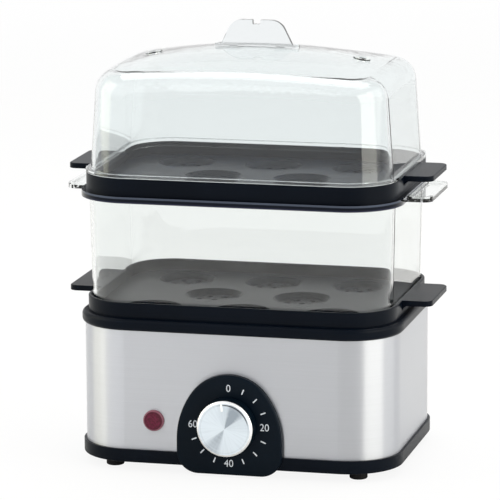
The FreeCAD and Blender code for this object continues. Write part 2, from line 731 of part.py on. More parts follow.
def makeClampStrip():
    body = newBody("element_clamp")
    outline = Outline(body, "XY_Plane", clampZ)
    outline.box(d.elementX + d.clampOver, d.clampWidth / 2, d.clampThick)
    outline.circle(0, 0, d.middleStud + d.stemGap)
    pad(body, outline, d.clampThick)
    return body


def makeThermostatBracket():
    body = newBody("thermostat_bracket")
    reach = d.thermostatY + d.thermostatCap + d.clampThick
    outline = Outline(body, "XY_Plane", bracketZ)
    outline.box(d.thermostatCap + d.clampThick, reach, d.clampThick)
    outline.circle(0, 0, d.middleStud + d.stemGap)
    outline.circle(0, -d.thermostatY, d.thermostatBody + d.stemGap)
    pad(body, outline, d.clampThick)
    # A pad of the bracket holds the fuse up against the pan.
    outline = Outline(body, "XY_Plane", clampZ)
    outline.box(d.fuseLength / 2, d.fuseRadius, y=d.thermostatY)
    pad(body, outline, panUnder - d.fuseRadius * 2 - clampZ)
    return body


def makeThermostat():
    body = newBody("thermostat")
    outline = Outline(body, "XY_Plane", clampZ)
    outline.circle(0, -d.thermostatY, d.thermostatCap)
    pad(body, outline, panUnder - clampZ)
    outline = Outline(body, "XY_Plane", clampZ)
    outline.circle(0, -d.thermostatY, d.thermostatBody)
    pad(body, outline, d.thermostatBodyHeight, reverse=True)
    outline = Outline(body, "XY_Plane", clampZ - d.thermostatBodyHeight)
    for side in (-1, 1):
        outline.box(d.bladeThick / 2, d.bladeWidth / 2, x=side * d.bladeApart, y=-d.thermostatY)
    pad(body, outline, d.bladeLength, reverse=True)
    return body


def makeFuse():
    body = newBody("thermal_fuse")
    outline = Outline(body, "YZ_Plane", -d.fuseLength / 2)
    outline.circle(d.thermostatY, panUnder - d.fuseRadius, d.fuseRadius)
    pad(body, outline, d.fuseLength)
    return body


def makeElement():
    # A bent sheathed tube: an open racetrack whose two ends run back side by side.
    body = newBody("heating_element")
    tail = d.elementY + d.elementTail
    bend = d.elementBend
    tight = d.elementRadius * 2
    # The path's corners, with the radius of each.
    corners = [
        (-d.elementGate, tail, None),
        (-d.elementGate, d.elementY, tight),
        (-d.elementX, d.elementY, bend),
        (-d.elementX, -d.elementY, bend),
        (d.elementX, -d.elementY, bend),
        (d.elementX, d.elementY, bend),
        (d.elementGate, d.elementY, tight),
        (d.elementGate, tail, None),
    ]
    path = Outline(body, "XY_Plane", elementZ)
    previous = None
    for index in range(len(corners) - 1):
        x, y, radius = corners[index]
        nextX, nextY, nextRadius = corners[index + 1]
        alongX = round(math.copysign(1, (nextX - x).value)) if abs((nextX - x).value) > 0.01 else 0
        alongY = round(math.copysign(1, (nextY - y).value)) if abs((nextY - y).value) > 0.01 else 0
        start = (x, y) if radius is None else (x + alongX * radius, y + alongY * radius)
        end = (nextX, nextY)
        if nextRadius is not None:
            end = (nextX - alongX * nextRadius, nextY - alongY * nextRadius)
        run = path.line(start, end)
        path.place(run, 1, *start)
        path.place(run, 2, *end)
        if previous is not None:
            oldRun, oldX, oldY = previous
            centreX = x - oldX * radius + alongX * radius
            centreY = y - oldY * radius + alongY * radius
            leftTurn = oldX * alongY - oldY * alongX > 0
            before = (x - oldX * radius, y - oldY * radius)
            first, last = (before, start) if leftTurn else (start, before)
            angles = [
                math.atan2(py.value - centreY.value, px.value - centreX.value) for px, py in (first, last)
            ]
            if angles[1] < angles[0]:
                angles[1] += 2 * math.pi
            arc = path.arc(centreX, centreY, radius, *angles)
            path.join(arc, 1 if leftTurn else 2, oldRun, 2)
            path.join(arc, 2 if leftTurn else 1, run, 1)
            path.hold("Radius", (arc,), radius)
        previous = (run, alongX, alongY)
    section = Outline(body, "XZ_Plane", -tail)
    section.circle(-d.elementGate, elementZ, d.elementRadius)
    pipe = body.newObject("PartDesign::AdditivePipe", "heating_element_pipe")
    pipe.Profile = section.sketch
    pipe.Spine = path.sketch
    settle(body, pipe)
    return body


def archOutline(outline, inset, bottom, corner):
    # An arch on straight sides: a crown arc, two side arcs tangent to it and to the sides, and a
    # flat foot. corner None leaves the foot's corners sharp.
    half = d.panelHalf - inset
    crown = d.panelCrown - inset
    top = d.panelTop - inset
    spring = d.panelSpring
    # The side arcs' radius follows from their tangency with the crown arc.
    rise = top.value - crown.value - spring.value
    reach = half.value
    side = (reach ** 2 + rise ** 2 - crown.value ** 2) / (2 * (reach - crown.value))
    turn = math.atan2(rise, side - reach)
    crownArc = outline.arc(0, top - crown, crown, turn, math.pi - turn)
    rightArc = outline.arc(half - side, spring, side, 0, turn)
    leftArc = outline.arc(side - half, spring, side, math.pi - turn, math.pi)
    trim = 0 if corner is None else corner
    rightSide = outline.line((half, bottom + trim), (half, spring))
    leftSide = outline.line((-half, spring), (-half, bottom + trim))
    foot = outline.line((trim - half, bottom), (half - trim, bottom))
    sketch = outline.sketch
    outline.place(crownArc, 3, 0, top - crown)
    outline.hold("Radius", (crownArc,), crown)
    for arc, line, linePoint, arcPoint, crownPoint in (
            (rightArc, rightSide, 2, 1, 1), (leftArc, leftSide, 1, 2, 2)):
        sketch.addConstraint(Sketcher.Constraint("Tangent", arc, 3 - arcPoint, crownArc, crownPoint))
        outline.join(arc, arcPoint, line, linePoint)
        outline.hold("DistanceY", (-1, 1, arc, 3), spring)
    outline.place(rightSide, 2, half, spring)
    outline.place(leftSide, 1, -half, spring)
    outline.place(rightSide, 1, half, bottom + trim)
    outline.place(leftSide, 2, -half, bottom + trim)
    if corner is None:
        outline.join(foot, 1, leftSide, 2)
        outline.join(foot, 2, rightSide, 1)
        return
    outline.place(foot, 1, corner - half, bottom)
    outline.place(foot, 2, half - corner, bottom)
    rightCorner = outline.arc(half - corner, bottom + corner, corner, -math.pi / 2, 0)
    leftCorner = outline.arc(corner - half, bottom + corner, corner, math.pi, math.pi * 1.5)
    outline.join(rightCorner, 1, foot, 2)
    outline.join(rightCorner, 2, rightSide, 1)
    outline.join(leftCorner, 1, leftSide, 2)
    outline.join(leftCorner, 2, foot, 1)
    outline.hold("Radius", (rightCorner,), corner)
    outline.hold("Radius", (leftCorner,), corner)


def makePanel():
    body = newBody("control_panel")
    backOfFace = panelFront - d.panelSkin
    outline = Outline(body, "XZ_Plane", d.bandY)
    archOutline(outline, sized(0), d.panelFoot, d.panelCorner)
    pad(body, outline, d.panelProud)
    dress(body, "Fillet", d.panelEdge, lambda edge: forward(edge, panelFront))
    # The foot is thinner, because it stands in front of the base plate.
    outline = Outline(body, "XZ_Plane", d.bandY)
    footTop = bandZ + d.grooveGap
    reach = d.panelHalf + d.panelEdge
    outline.loop([
        (-reach, d.panelFoot - d.panelEdge, None),
        (reach, d.panelFoot - d.panelEdge, None),
        (reach, footTop, None),
        (-reach, footTop, None),
    ])
    pocket(body, outline, backOfFace - d.bandY, reverse=True)
    outline = Outline(body, "XZ_Plane", d.bandY)
    archOutline(outline, d.panelSkin, footTop + d.panelSkin, None)
    pocket(body, outline, backOfFace - d.bandY, reverse=True)
    # Pads behind the face carry the timer screws and the panel screws.
    outline = Outline(body, "XZ_Plane", d.bandY)
    outline.circles([(0, d.dialZ - d.timerScrewPitch), (0, d.dialZ + d.timerScrewPitch)], d.panelBoss)
    outline.circles([(-d.panelBossX, d.panelBossZ), (d.panelBossX, d.panelBossZ)], d.panelBoss)
    pad(body, outline, backOfFace - d.bandY)
    outline = Outline(body, "XZ_Plane", d.bandY)
    outline.circle(0, d.dialZ, d.bushRadius + d.bushGap)
    outline.circles([(0, d.dialZ - d.timerScrewPitch), (0, d.dialZ + d.timerScrewPitch)],
                    d.smallShank + d.holeGap)
    pocket(body, outline, d.panelProud, reverse=True)
    outline = Outline(body, "XZ_Plane", d.bandY)
    outline.circles([(-d.panelBossX, d.panelBossZ), (d.panelBossX, d.panelBossZ)],
                    d.smallShank + d.screwGap)
    pocket(body, outline, backOfFace - d.bandY + d.panelBite, reverse=True)
    return body


def makePanelScrews():
    # Driven from inside: heads behind the band, shanks forward into the panel's bosses.
    body = newBody("panel_screws")
    places = [(-d.panelBossX, d.panelBossZ), (d.panelBossX, d.panelBossZ)]
    outline = Outline(body, "XZ_Plane", insideFront)
    outline.circles(places, d.smallHead)
    pad(body, outline, d.smallHeadHeight, reverse=True)
    outline = Outline(body, "XZ_Plane", insideFront)
    outline.circles(places, d.smallShank)
    pad(body, outline, d.bandGauge + d.panelProud - d.panelSkin + d.panelBite)
    return body


def makeTimerCase():
    body = newBody("timer_case")
    outline = Outline(body, "XZ_Plane", insideFront - d.timerDepth)
    outline.box(d.timerHalf, d.timerHalf, d.timerWall, y=d.dialZ)
    pad(body, outline, d.timerDepth)
    outline = Outline(body, "XZ_Plane", insideFront - d.timerDepth)
    outline.box(d.timerHalf - d.timerWall, d.timerHalf - d.timerWall, y=d.dialZ)
    pocket(body, outline, d.timerDepth - d.timerFace, reverse=True)
    outline = Outline(body, "XZ_Plane", insideFront)
    outline.circle(0, d.dialZ, d.bushRadius)
    pad(body, outline, panelFront - insideFront)
    outline = Outline(body, "XZ_Plane", insideFront - d.timerFace)
    outline.circle(0, d.dialZ, d.shaftRadius + d.shaftGap)
    pocket(body, outline, panelFront - insideFront + d.timerFace, reverse=True)
    outline = Outline(body, "XZ_Plane", insideFront)
    outline.circles([(0, d.dialZ - d.timerScrewPitch), (0, d.dialZ + d.timerScrewPitch)],
                    d.smallShank + d.screwGap)
    pocket(body, outline, d.timerFace - d.timerWall / 2)
    return body


def makeTimerCover():
    body = newBody("timer_cover")
    front = insideFront - d.timerDepth
    outline = Outline(body, "XZ_Plane", front)
    outline.box(d.timerHalf, d.timerHalf, d.timerWall, y=d.dialZ)
    outline.circle(0, d.dialZ, d.shaftRadius + d.shaftGap)
    pad(body, outline, d.timerCoverThick, reverse=True)
    outline = Outline(body, "XZ_Plane", front - d.timerCoverThick)
    for side in (-1, 1):
        outline.box(d.bladeThick / 2, d.bladeWidth / 2, x=side * d.timerHalf / 2, y=d.dialZ + d.timerHalf / 2)
    pad(body, outline, d.bladeLength, reverse=True)
    return body


def makeTimerScrews():
    # Driven from the front: heads on the panel, hidden behind the knob.
    body = newBody("timer_screws")
    places = [(0, d.dialZ - d.timerScrewPitch), (0, d.dialZ + d.timerScrewPitch)]
    outline = Outline(body, "XZ_Plane", panelFront)
    outline.circles(places, d.smallHead)
    pad(body, outline, d.smallHeadHeight)
    outline = Outline(body, "XZ_Plane", panelFront)
    outline.circles(places, d.smallShank)
    pad(body, outline, panelFront - insideFront + d.timerFace / 2, reverse=True)
    return body


def makeTimerShaft():
    body = newBody("timer_shaft")
    back = insideFront - d.timerDepth - d.timerCoverThick
    outline = Outline(body, "XZ_Plane", back)
    outline.circle(0, d.dialZ, d.shaftRadius)
    pad(body, outline, capBack - d.knobWall - back)
    # A flat on the front end drives the knob.
    outline = Outline(body, "XZ_Plane", capBack - d.knobWall)
    outline.loop([
        (-d.shaftRadius, d.dialZ + d.knobFlat, None),
        (d.shaftRadius, d.dialZ + d.knobFlat, None),
        (d.shaftRadius, d.dialZ + d.shaftRadius, None),
        (-d.shaftRadius, d.dialZ + d.shaftRadius, None),
    ])
    pocket(body, outline, capBack - d.knobWall - knobBack)
    return body


def makeTimerCam():
    body = newBody("timer_cam")
    back = insideFront - d.timerDepth + d.camBack
    outline = Outline(body, "XZ_Plane", back)
    outline.circle(0, d.dialZ, d.camRadius)
    outline.circle(0, d.dialZ, d.shaftRadius)
    pad(body, outline, d.camThick)
    outline = Outline(body, "XZ_Plane", back)
    outline.loop([
        (-d.camNotch / 2, d.dialZ + d.camRadius - d.camNotch, None),
        (d.camNotch / 2, d.dialZ + d.camRadius - d.camNotch, None),
        (d.camNotch / 2, d.dialZ + d.camRadius + d.camNotch, None),
        (-d.camNotch / 2, d.dialZ + d.camRadius + d.camNotch, None),
    ])
    pocket(body, outline, d.camThick, reverse=True)
    return body


def makeTimerContacts():
    # Two leaf blades above the cam, standing on the timer's cover.
    body = newBody("timer_contacts")
    front = insideFront - d.timerDepth
    lower = d.dialZ + d.camRadius + d.contactGap
    outline = Outline(body, "XZ_Plane", front)
    for step in (0, 1):
        outline.box(d.contactHalf, d.contactThick / 2,
                    y=lower + d.contactThick / 2 + step * (d.contactThick + d.contactGap * 2))
    pad(body, outline, d.camBack + d.camThick)
    return body


def makeKnobBody():
    body = newBody("knob_body")
    outline = Outline(body, "XZ_Plane", knobBack)
    outline.circle(0, d.dialZ, d.knobRadius)
    pad(body, outline, d.knobDepth, taper=-slope(d.knobRadius - d.capRadius, d.knobDepth))
    outline = Outline(body, "XZ_Plane", knobBack)
    outline.circle(0, d.dialZ, d.knobRadius - d.knobWall)
    outline.circle(0, d.dialZ, d.knobHub)
    pocket(body, outline, d.knobDepth - d.knobWall, reverse=True)
    # The hub's bore has the shaft's flat.
    bore = Outline(body, "XZ_Plane", knobBack)
    radius = d.shaftRadius + d.shaftGap
    flat = d.knobFlat + d.shaftGap
    turn = math.asin(flat.value / radius.value)
    arc = bore.arc(0, d.dialZ, radius, math.pi - turn, 2 * math.pi + turn)
    reach = math.cos(turn) * radius.value
    chord = bore.line((reach, d.dialZ + flat), (-reach, d.dialZ + flat))
    bore.place(arc, 3, 0, d.dialZ)
    bore.hold("Radius", (arc,), radius)
    bore.join(arc, 2, chord, 1)
    bore.join(arc, 1, chord, 2)
    bore.hold("DistanceY", (-1, 1, chord, 1), d.dialZ + flat)
    bore.hold("DistanceY", (-1, 1, chord, 2), d.dialZ + flat)
    pocket(body, bore, d.knobDepth - d.knobWall, reverse=True)
    return body


def makeKnobCap():
    body = newBody("knob_cap")
    outline = Outline(body, "XZ_Plane", capBack)
    outline.circle(0, d.dialZ, d.capRadius)
    pad(body, outline, d.capThick)
    dress(body, "Chamfer", d.capChamfer, lambda edge: forward(edge, capFront))
    outline = Outline(body, "XZ_Plane", capFront)
    outline.circle(0, d.dialZ, d.capRadius - d.capChamfer - d.capDish)
    pocket(body, outline, d.capDish)
    return body


def makeLens():
    body = newBody("indicator_lens")
    outline = Outline(body, "XZ_Plane", d.bandY)
    outline.circle(-d.lensX, d.lensZ, d.lensRadius)
    pad(body, outline, d.lensProud)
    dress(body, "Fillet", d.lensEdge, lambda edge: forward(edge, d.bandY + d.lensProud))
    outline = Outline(body, "XZ_Plane", d.bandY)
    outline.circle(-d.lensX, d.lensZ, d.lensBarrel)
    pad(body, outline, d.lensBarrelLength, reverse=True)
    outline = Outline(body, "XZ_Plane", d.bandY - d.lensBarrelLength)
    outline.circle(-d.lensX, d.lensZ, d.lensBore)
    pocket(body, outline, d.lensBarrelLength, reverse=True)
    return body


def makeLampClip():
    body = newBody("lamp_clip")
    outline = Outline(body, "XZ_Plane", insideFront)
    outline.circle(-d.lensX, d.lensZ, d.clipRadius)
    outline.circle(-d.lensX, d.lensZ, d.lensBarrel + d.screwGap)
    pad(body, outline, d.clipThick, reverse=True)
    return body


def makeLamp():
    body = newBody("indicator_lamp")
    rear = d.bandY - d.lensBarrelLength
    outline = Outline(body, "XZ_Plane", rear)
    outline.circle(-d.lensX, d.lensZ, d.bulbRadius)
    pad(body, outline, d.bulbLength)
    dress(body, "Fillet", d.bulbRound, lambda edge: forward(edge, rear + d.bulbLength))
    outline = Outline(body, "XZ_Plane", rear)
    outline.circle(-d.lensX, d.lensZ, d.lensBarrel)
    pad(body, outline, d.bulbPlug, reverse=True)
    return body


def makeGland():
    body = newBody("cord_gland")
    outer = Outline(body, "XZ_Plane", -d.bandY)
    outer.circle(d.glandX, d.glandZ, d.glandFlange)
    pad(body, outer, d.glandFlangeThick, reverse=True)
    sleeve = Outline(body, "XZ_Plane", -(d.bandY + d.glandFlangeThick))
    sleeve.circle(d.glandX, d.glandZ, d.glandSleeve)
    run = d.glandReach - d.glandFlangeThick
    pad(body, sleeve, run, taper=-slope(d.glandSleeve - d.glandTip, run), reverse=True)
    neck = Outline(body, "XZ_Plane", -d.bandY)
    neck.circle(d.glandX, d.glandZ, d.glandNeck)
    pad(body, neck, d.glandInner)
    # A wider collar inside keeps the gland in the sheet.
    collar = Outline(body, "XZ_Plane", -(d.bandY - d.bandGauge - d.glandGap))
    collar.circle(d.glandX, d.glandZ, d.glandNeck + d.ribThick / 2)
    pad(body, collar, d.glandInner - d.bandGauge - d.glandGap)
    bore = Outline(body, "XZ_Plane", -(d.bandY + d.glandReach))
    bore.circle(d.glandX, d.glandZ, d.glandBore)
    pocket(body, bore, d.glandReach + d.glandInner, reverse=True)
    return body


def makeBlock():
    body = newBody("terminal_block")
    outline = Outline(body, "XY_Plane", floorZ)
    outline.box(d.blockHalfX, d.blockHalfY, d.wireRadius, x=d.blockX, y=d.blockY)
    pad(body, outline, d.blockHeight)
    outline = Outline(body, "XY_Plane", floorZ + d.blockHeight)
    for step in (-1, 0, 1):
        outline.circle(d.blockX + step * d.blockPole, d.blockY, d.poleRadius + d.screwGap)
    pocket(body, outline, d.poleDepth)
    return body


def makePoles():
    body = newBody("terminal_screws")
    outline = Outline(body, "XY_Plane", floorZ + d.blockHeight)
    for step in (-1, 0, 1):
        outline.circle(d.blockX + step * d.blockPole, d.blockY, d.poleRadius)
    pad(body, outline, d.poleDepth, reverse=True)
    return body


def makeTray(label, bottom, inset, height, skirt, handleHalf):
    body = newBody(label)
    top = bottom + height
    outline = Outline(body, "XY_Plane", bottom)
    outline.housing(-inset)
    pad(body, outline, height)
    # Two tab handles, flush with the top of the wall.
    root = d.bandX - inset - d.trayWall
    outline = Outline(body, "XY_Plane", top)
    for side in (-1, 1):
        corners = [
            (side * root, -handleHalf, None),
            (side * handleTip, -handleHalf, d.handleCorner),
            (side * handleTip, handleHalf, d.handleCorner),
            (side * root, handleHalf, None),
        ]
        outline.loop(corners if side > 0 else corners[::-1])
    pad(body, outline, d.handleThick, reverse=True)
    under = top - d.handleThick

    def alongWall(edge):
        middle = edge.BoundBox.Center
        upright = abs(abs(middle.x) - (d.bandX - inset).value) < 0.01
        return level(edge, under) and upright and edge.Length > handleHalf.value

    dress(body, "Fillet", d.handleGusset, alongWall)
    outline = Outline(body, "XY_Plane", top)
    outline.housing(-(inset + d.trayWall))
    pocket(body, outline, height - d.deckThick)
    dress(body, "Fillet", d.trayEdge, lambda edge: level(edge, top))
    # The skirt drops into the mouth below.
    outline = Outline(body, "XY_Plane", bottom)
    outline.ring(-skirt, -(skirt + d.skirtThick))
    pad(body, outline, d.skirtDepth, reverse=True)
    seats = pairs(d.seatX, d.seatY)
    seats += [(0, -d.seatY), (0, d.seatY), (-d.seatX / 2, 0), (d.seatX / 2, 0)]
    cupDepth = d.seatDrop + d.cupWall - d.deckThick
    outline = Outline(body, "XY_Plane", bottom)
    outline.circles(seats, d.seatRadius)
    pad(body, outline, cupDepth, taper=-slope(d.seatRadius - d.seatFloor - d.cupWall, cupDepth), reverse=True)
    outline = Outline(body, "XY_Plane", bottom + d.deckThick)
    outline.circles(seats, d.seatRadius)
    pocket(body, outline, d.seatDrop, taper=-slope(d.seatRadius - d.seatFloor, d.seatDrop))
    outline = Outline(body, "XY_Plane", bottom + d.deckThick)
    for x, y in seats:
        outline.circle(x, y, d.steamHole)
        for step in range(6):
            around = step * math.pi / 3
            holeX = x + d.steamRing * math.cos(around)
            holeY = y + d.steamRing * math.sin(around)
            outline.circle(holeX, holeY, d.steamHole)
    pocket(body, outline, d.deckThick + cupDepth)
    return body


def makeChamber():
    body = newBody("chamber")
    draft = slope(d.chamberDraft, d.chamberHeight)
    outline = Outline(body, "XY_Plane", chamberZ)
    outline.housing(-d.chamberInset)
    pad(body, outline, d.chamberHeight, taper=draft)
    outline = Outline(body, "XY_Plane", upperZ)
    outline.housing(d.flangeProud)
    pad(body, outline, d.flangeThick, reverse=True)
    outline = Outline(body, "XY_Plane", upperZ - d.flangeThick)
    outline.ring(d.flangeProud, d.flangeProud - d.flangeLipThick)
    pad(body, outline, d.flangeLip, reverse=True)
    tabTop = upperZ - d.chamberHandleDrop
    root = d.bandX - d.chamberInset + d.chamberDraft
    outline = Outline(body, "XY_Plane", tabTop)
    for side in (-1, 1):
        corners = [
            (side * root, -d.chamberHandle, None),
            (side * handleTip, -d.chamberHandle, d.handleCorner),
            (side * handleTip, d.chamberHandle, d.handleCorner),
            (side * root, d.chamberHandle, None),
        ]
        outline.loop(corners if side > 0 else corners[::-1])
    pad(body, outline, d.handleThick, reverse=True)
    # A shallow dish leaves a bead round each tab.
    outline = Outline(body, "XY_Plane", tabTop)
    for side in (-1, 1):
        inner = d.bandX + d.flangeProud + d.chamberHandleRim
        half = d.chamberHandle - d.chamberHandleRim
        tip = handleTip - d.chamberHandleRim
        corners = [
            (side * inner, -half, None),
            (side * tip, -half, d.handleCorner - d.chamberHandleRim),
            (side * tip, half, d.handleCorner - d.chamberHandleRim),
            (side * inner, half, None),
        ]
        outline.loop(corners if side > 0 else corners[::-1])
    pocket(body, outline, d.chamberHandleDish)
    outline = Outline(body, "XY_Plane", chamberZ)
    outline.housing(-(d.chamberInset + d.clearWall))
    pocket(body, outline, d.chamberHeight, taper=draft, reverse=True)
    return body


def crownSection(body, x, halfY, top, rise, far):
    # What the crown takes away at one place along X: the space between the arc of the lid's top,
    # or its level line where it has no rise, and the height far.
    outline = Outline(body, "YZ_Plane", x)
    edge = top - rise
    if rise.value:
        radius = (halfY * halfY + rise * rise) / (2 * rise)
        turn = math.asin(halfY.value / radius.value)
        roof = outline.arc(0, top - radius, radius, math.pi / 2 - turn, math.pi / 2 + turn)
        outline.place(roof, 3, 0, top - radius)
        outline.hold("Radius", (roof,), radius)
    else:
        roof = outline.line((halfY, edge), (-halfY, edge))
        outline.hold("DistanceY", (-1, 1, roof, 1), edge)
        outline.hold("DistanceY", (-1, 1, roof, 2), edge)
    left = outline.line((-halfY, edge), (-halfY, far))
    over = outline.line((-halfY, far), (halfY, far))
    right = outline.line((halfY, far), (halfY, edge))
    outline.hold("DistanceX", (-1, 1, left, 1), -halfY)
    outline.hold("DistanceX", (-1, 1, right, 2), halfY)
    outline.place(over, 1, -halfY, far)
    outline.place(over, 2, halfY, far)
    outline.join(roof, 2, left, 1)
    outline.join(left, 2, over, 1)
    outline.join(over, 2, right, 1)
    outline.join(right, 2, roof, 1)
    return outline.sketch


def crownCut(body, top, wall, above=True):
    # The lid's top swells from level edges, which lie over the foot of its walls, to its middle.
    # What lies above it is cut away, or what lies below it.
    halfX = lidHalfX - wall
    halfY = lidHalfY - wall
    edge = top - d.crownRise
    far = top + d.lidShoulder if above else edge - d.lidShoulder
    before = body.Shape.Volume
    first, middle, last = [
        crownSection(body, x, halfY, edge + rise, rise, far)
        for x, rise in ((-halfX, sized(0)), (sized(0), d.crownRise), (halfX, sized(0)))
    ]
    loft = body.newObject("PartDesign::SubtractiveLoft", body.Label + "_crown")
    loft.Profile = first
    loft.Sections = [middle, last]
    settle(body, loft)
    if body.Shape.Volume >= before:
        raise RuntimeError(f"{body.Label}: the crown cuts nothing")


def crownDrop(x, wall):
    # How far the lid's top has fallen at x from its middle.
    halfX = lidHalfX - wall
    return d.crownRise * x * x / (halfX * halfX)


def lidBlock(label, wall):
    # The lid's solid form, drawn smaller all round by wall.
    body = newBody(label)
    foot = lidZ - d.skirtDepth
    top = crownZ - wall
    outline = Outline(body, "XY_Plane", foot)
    outline.housing(-(lidSeat + wall))
    pad(body, outline, top - foot, taper=-slope(d.lidDraft, d.lidHeight))
    crownCut(body, top, wall)
    shoulders = top - d.crownRise - d.lidShoulder
    dress(body, "Fillet", d.lidShoulder - wall, lambda edge: edge.BoundBox.ZMin > shoulders.value)
    return body


def makeLid():
    # The outer form with its flange and holes, less the same form one wall smaller.
    outer = lidBlock("lid_form", sized(0))
    outline = Outline(outer, "XY_Plane", lidZ)
    outline.housing(-d.lidInset)
    pad(outer, outline, d.lidFlange)
    # A collared steam vent stands square on the top at each end.
    ventDrop = crownDrop(d.ventX, 0)
    ventTilt = slope(2 * ventDrop, d.ventX)
    for side in (-1, 1):
        collar, bore = [Outline(outer, "XY_Plane", crownZ - ventDrop + d.ventRise) for use in range(2)]
        for outline, radius in ((collar, d.ventCollar), (bore, d.ventBore)):
            tilt = FreeCAD.Rotation(FreeCAD.Vector(0, side, 0), ventTilt.value)
            outline.sketch.AttachmentOffset = FreeCAD.Placement(FreeCAD.Vector(), tilt)
            bind(outline.sketch, "AttachmentOffset.Base.x", side * d.ventX)
            bind(outline.sketch, "AttachmentOffset.Rotation.Angle", ventTilt)
            outline.circle(0, 0, radius)
        pad(outer, collar, d.ventRise + d.clearWall, reverse=True)
        pocket(outer, bore, d.lidShoulder)
    # The slots of the grip's legs.
    outline = Outline(outer, "XY_Plane", crownZ + d.ventRise)
    for side in (-1, 1):
        outline.box(d.gripLegHalf + d.gripLegGap, d.gripThick / 2 + d.gripLegGap, x=side * d.gripLegX)
    pocket(outer, outline, d.lidShoulder)
    cavity = lidBlock("lid_cavity", d.clearWall)
    shell = doc.addObject("Part::Cut", "lid_shell")
    shell.Label = "lid_shell"
    shell.Base = outer
    shell.Tool = cavity
    doc.recompute()
    return shell


def makeGrip():
    # The plate and its foot are cut to the swell of the lid's top, which they stand on.
    body = newBody("lid_grip")
    top = crownZ + d.gripHeight
    low = crownZ - 2 * crownDrop(d.gripFoot, 0)
    outline = Outline(body, "XZ_Plane", 0)
    notchFloor = top - d.gripNotchDepth
    outline.loop([
        (-d.gripHalf, low, None),
        (d.gripHalf, low, None),
        (d.gripShoulder, top, None),
        (d.gripNotch, top, None),
        (d.gripNotch, notchFloor, None),
        (-d.gripNotch, notchFloor, None),
        (-d.gripNotch, top, None),
        (-d.gripShoulder, top, None),
    ])
    pad(body, outline, d.gripThick, both=True)

    def atShoulder(edge):
        box = edge.BoundBox
        return level(edge, top) and box.XLength < 0.01 and box.Center.x ** 2 > d.gripNotch.value ** 2 + 1

    dress(body, "Fillet", d.gripRound, atShoulder)
    outline = Outline(body, "XY_Plane", low)
    outline.box(d.gripFoot, d.gripFootHalf, d.gripFootRound)
    footTop = crownZ + d.gripFootThick
    pad(body, outline, footTop - low)
    crownCut(body, crownZ + d.gripSeatGap, 0, above=False)
    # Two legs go through the lid and spread behind it.
    outline = Outline(body, "XY_Plane", footTop)
    for side in (-1, 1):
        outline.box(d.gripLegHalf, d.gripThick / 2, x=side * d.gripLegX)
    over = d.gripLegGap + d.gripBarbOver
    barbTop = d.clearWall + d.gripLegGap + crownDrop(d.gripLegX + d.gripLegHalf + over, d.clearWall)
    pad(body, outline, d.gripFootThick + barbTop + d.gripBarb, reverse=True)
    outline = Outline(body, "XY_Plane", crownZ - barbTop)
    for side in (-1, 1):
        outline.box(d.gripLegHalf + over, d.gripThick / 2 + over, x=side * d.gripLegX)
    pad(body, outline, d.gripBarb, reverse=True)
    return body


def tube(points, radius, bend):
    # A round tube along straight runs joined by tangent arcs.
    corners = [FreeCAD.Vector(*point) for point in points]
    edges = []
    start = corners[0]
    for before, corner, after in zip(corners, corners[1:], corners[2:]):
        inward = (corner - before).normalize()
        outward = (after - corner).normalize()
        turn = inward.getAngle(outward)
        reach = bend * math.tan(turn / 2)
        first = corner - inward * reach
        last = corner + outward * reach
        middle = corner + (outward - inward).normalize() * bend * (1 / math.cos(turn / 2) - 1)
        edges.append(Part.LineSegment(start, first).toShape())
        edges.append(Part.Arc(first, middle, last).toShape())
        start = last
    edges.append(Part.LineSegment(start, corners[-1]).toShape())
    length = sum(edge.Length for edge in edges)
    path = Part.Wire(edges)
    heading = (corners[1] - corners[0]).normalize()
    profile = Part.Wire([Part.Circle(corners[0], heading, radius).toShape()])
    solid = path.makePipeShell([profile], True, False)
    if abs(solid.Volume / (math.pi * radius ** 2 * length) - 1) > 0.01:
        raise RuntimeError("a wire's volume isn't its section times its length")
    return solid


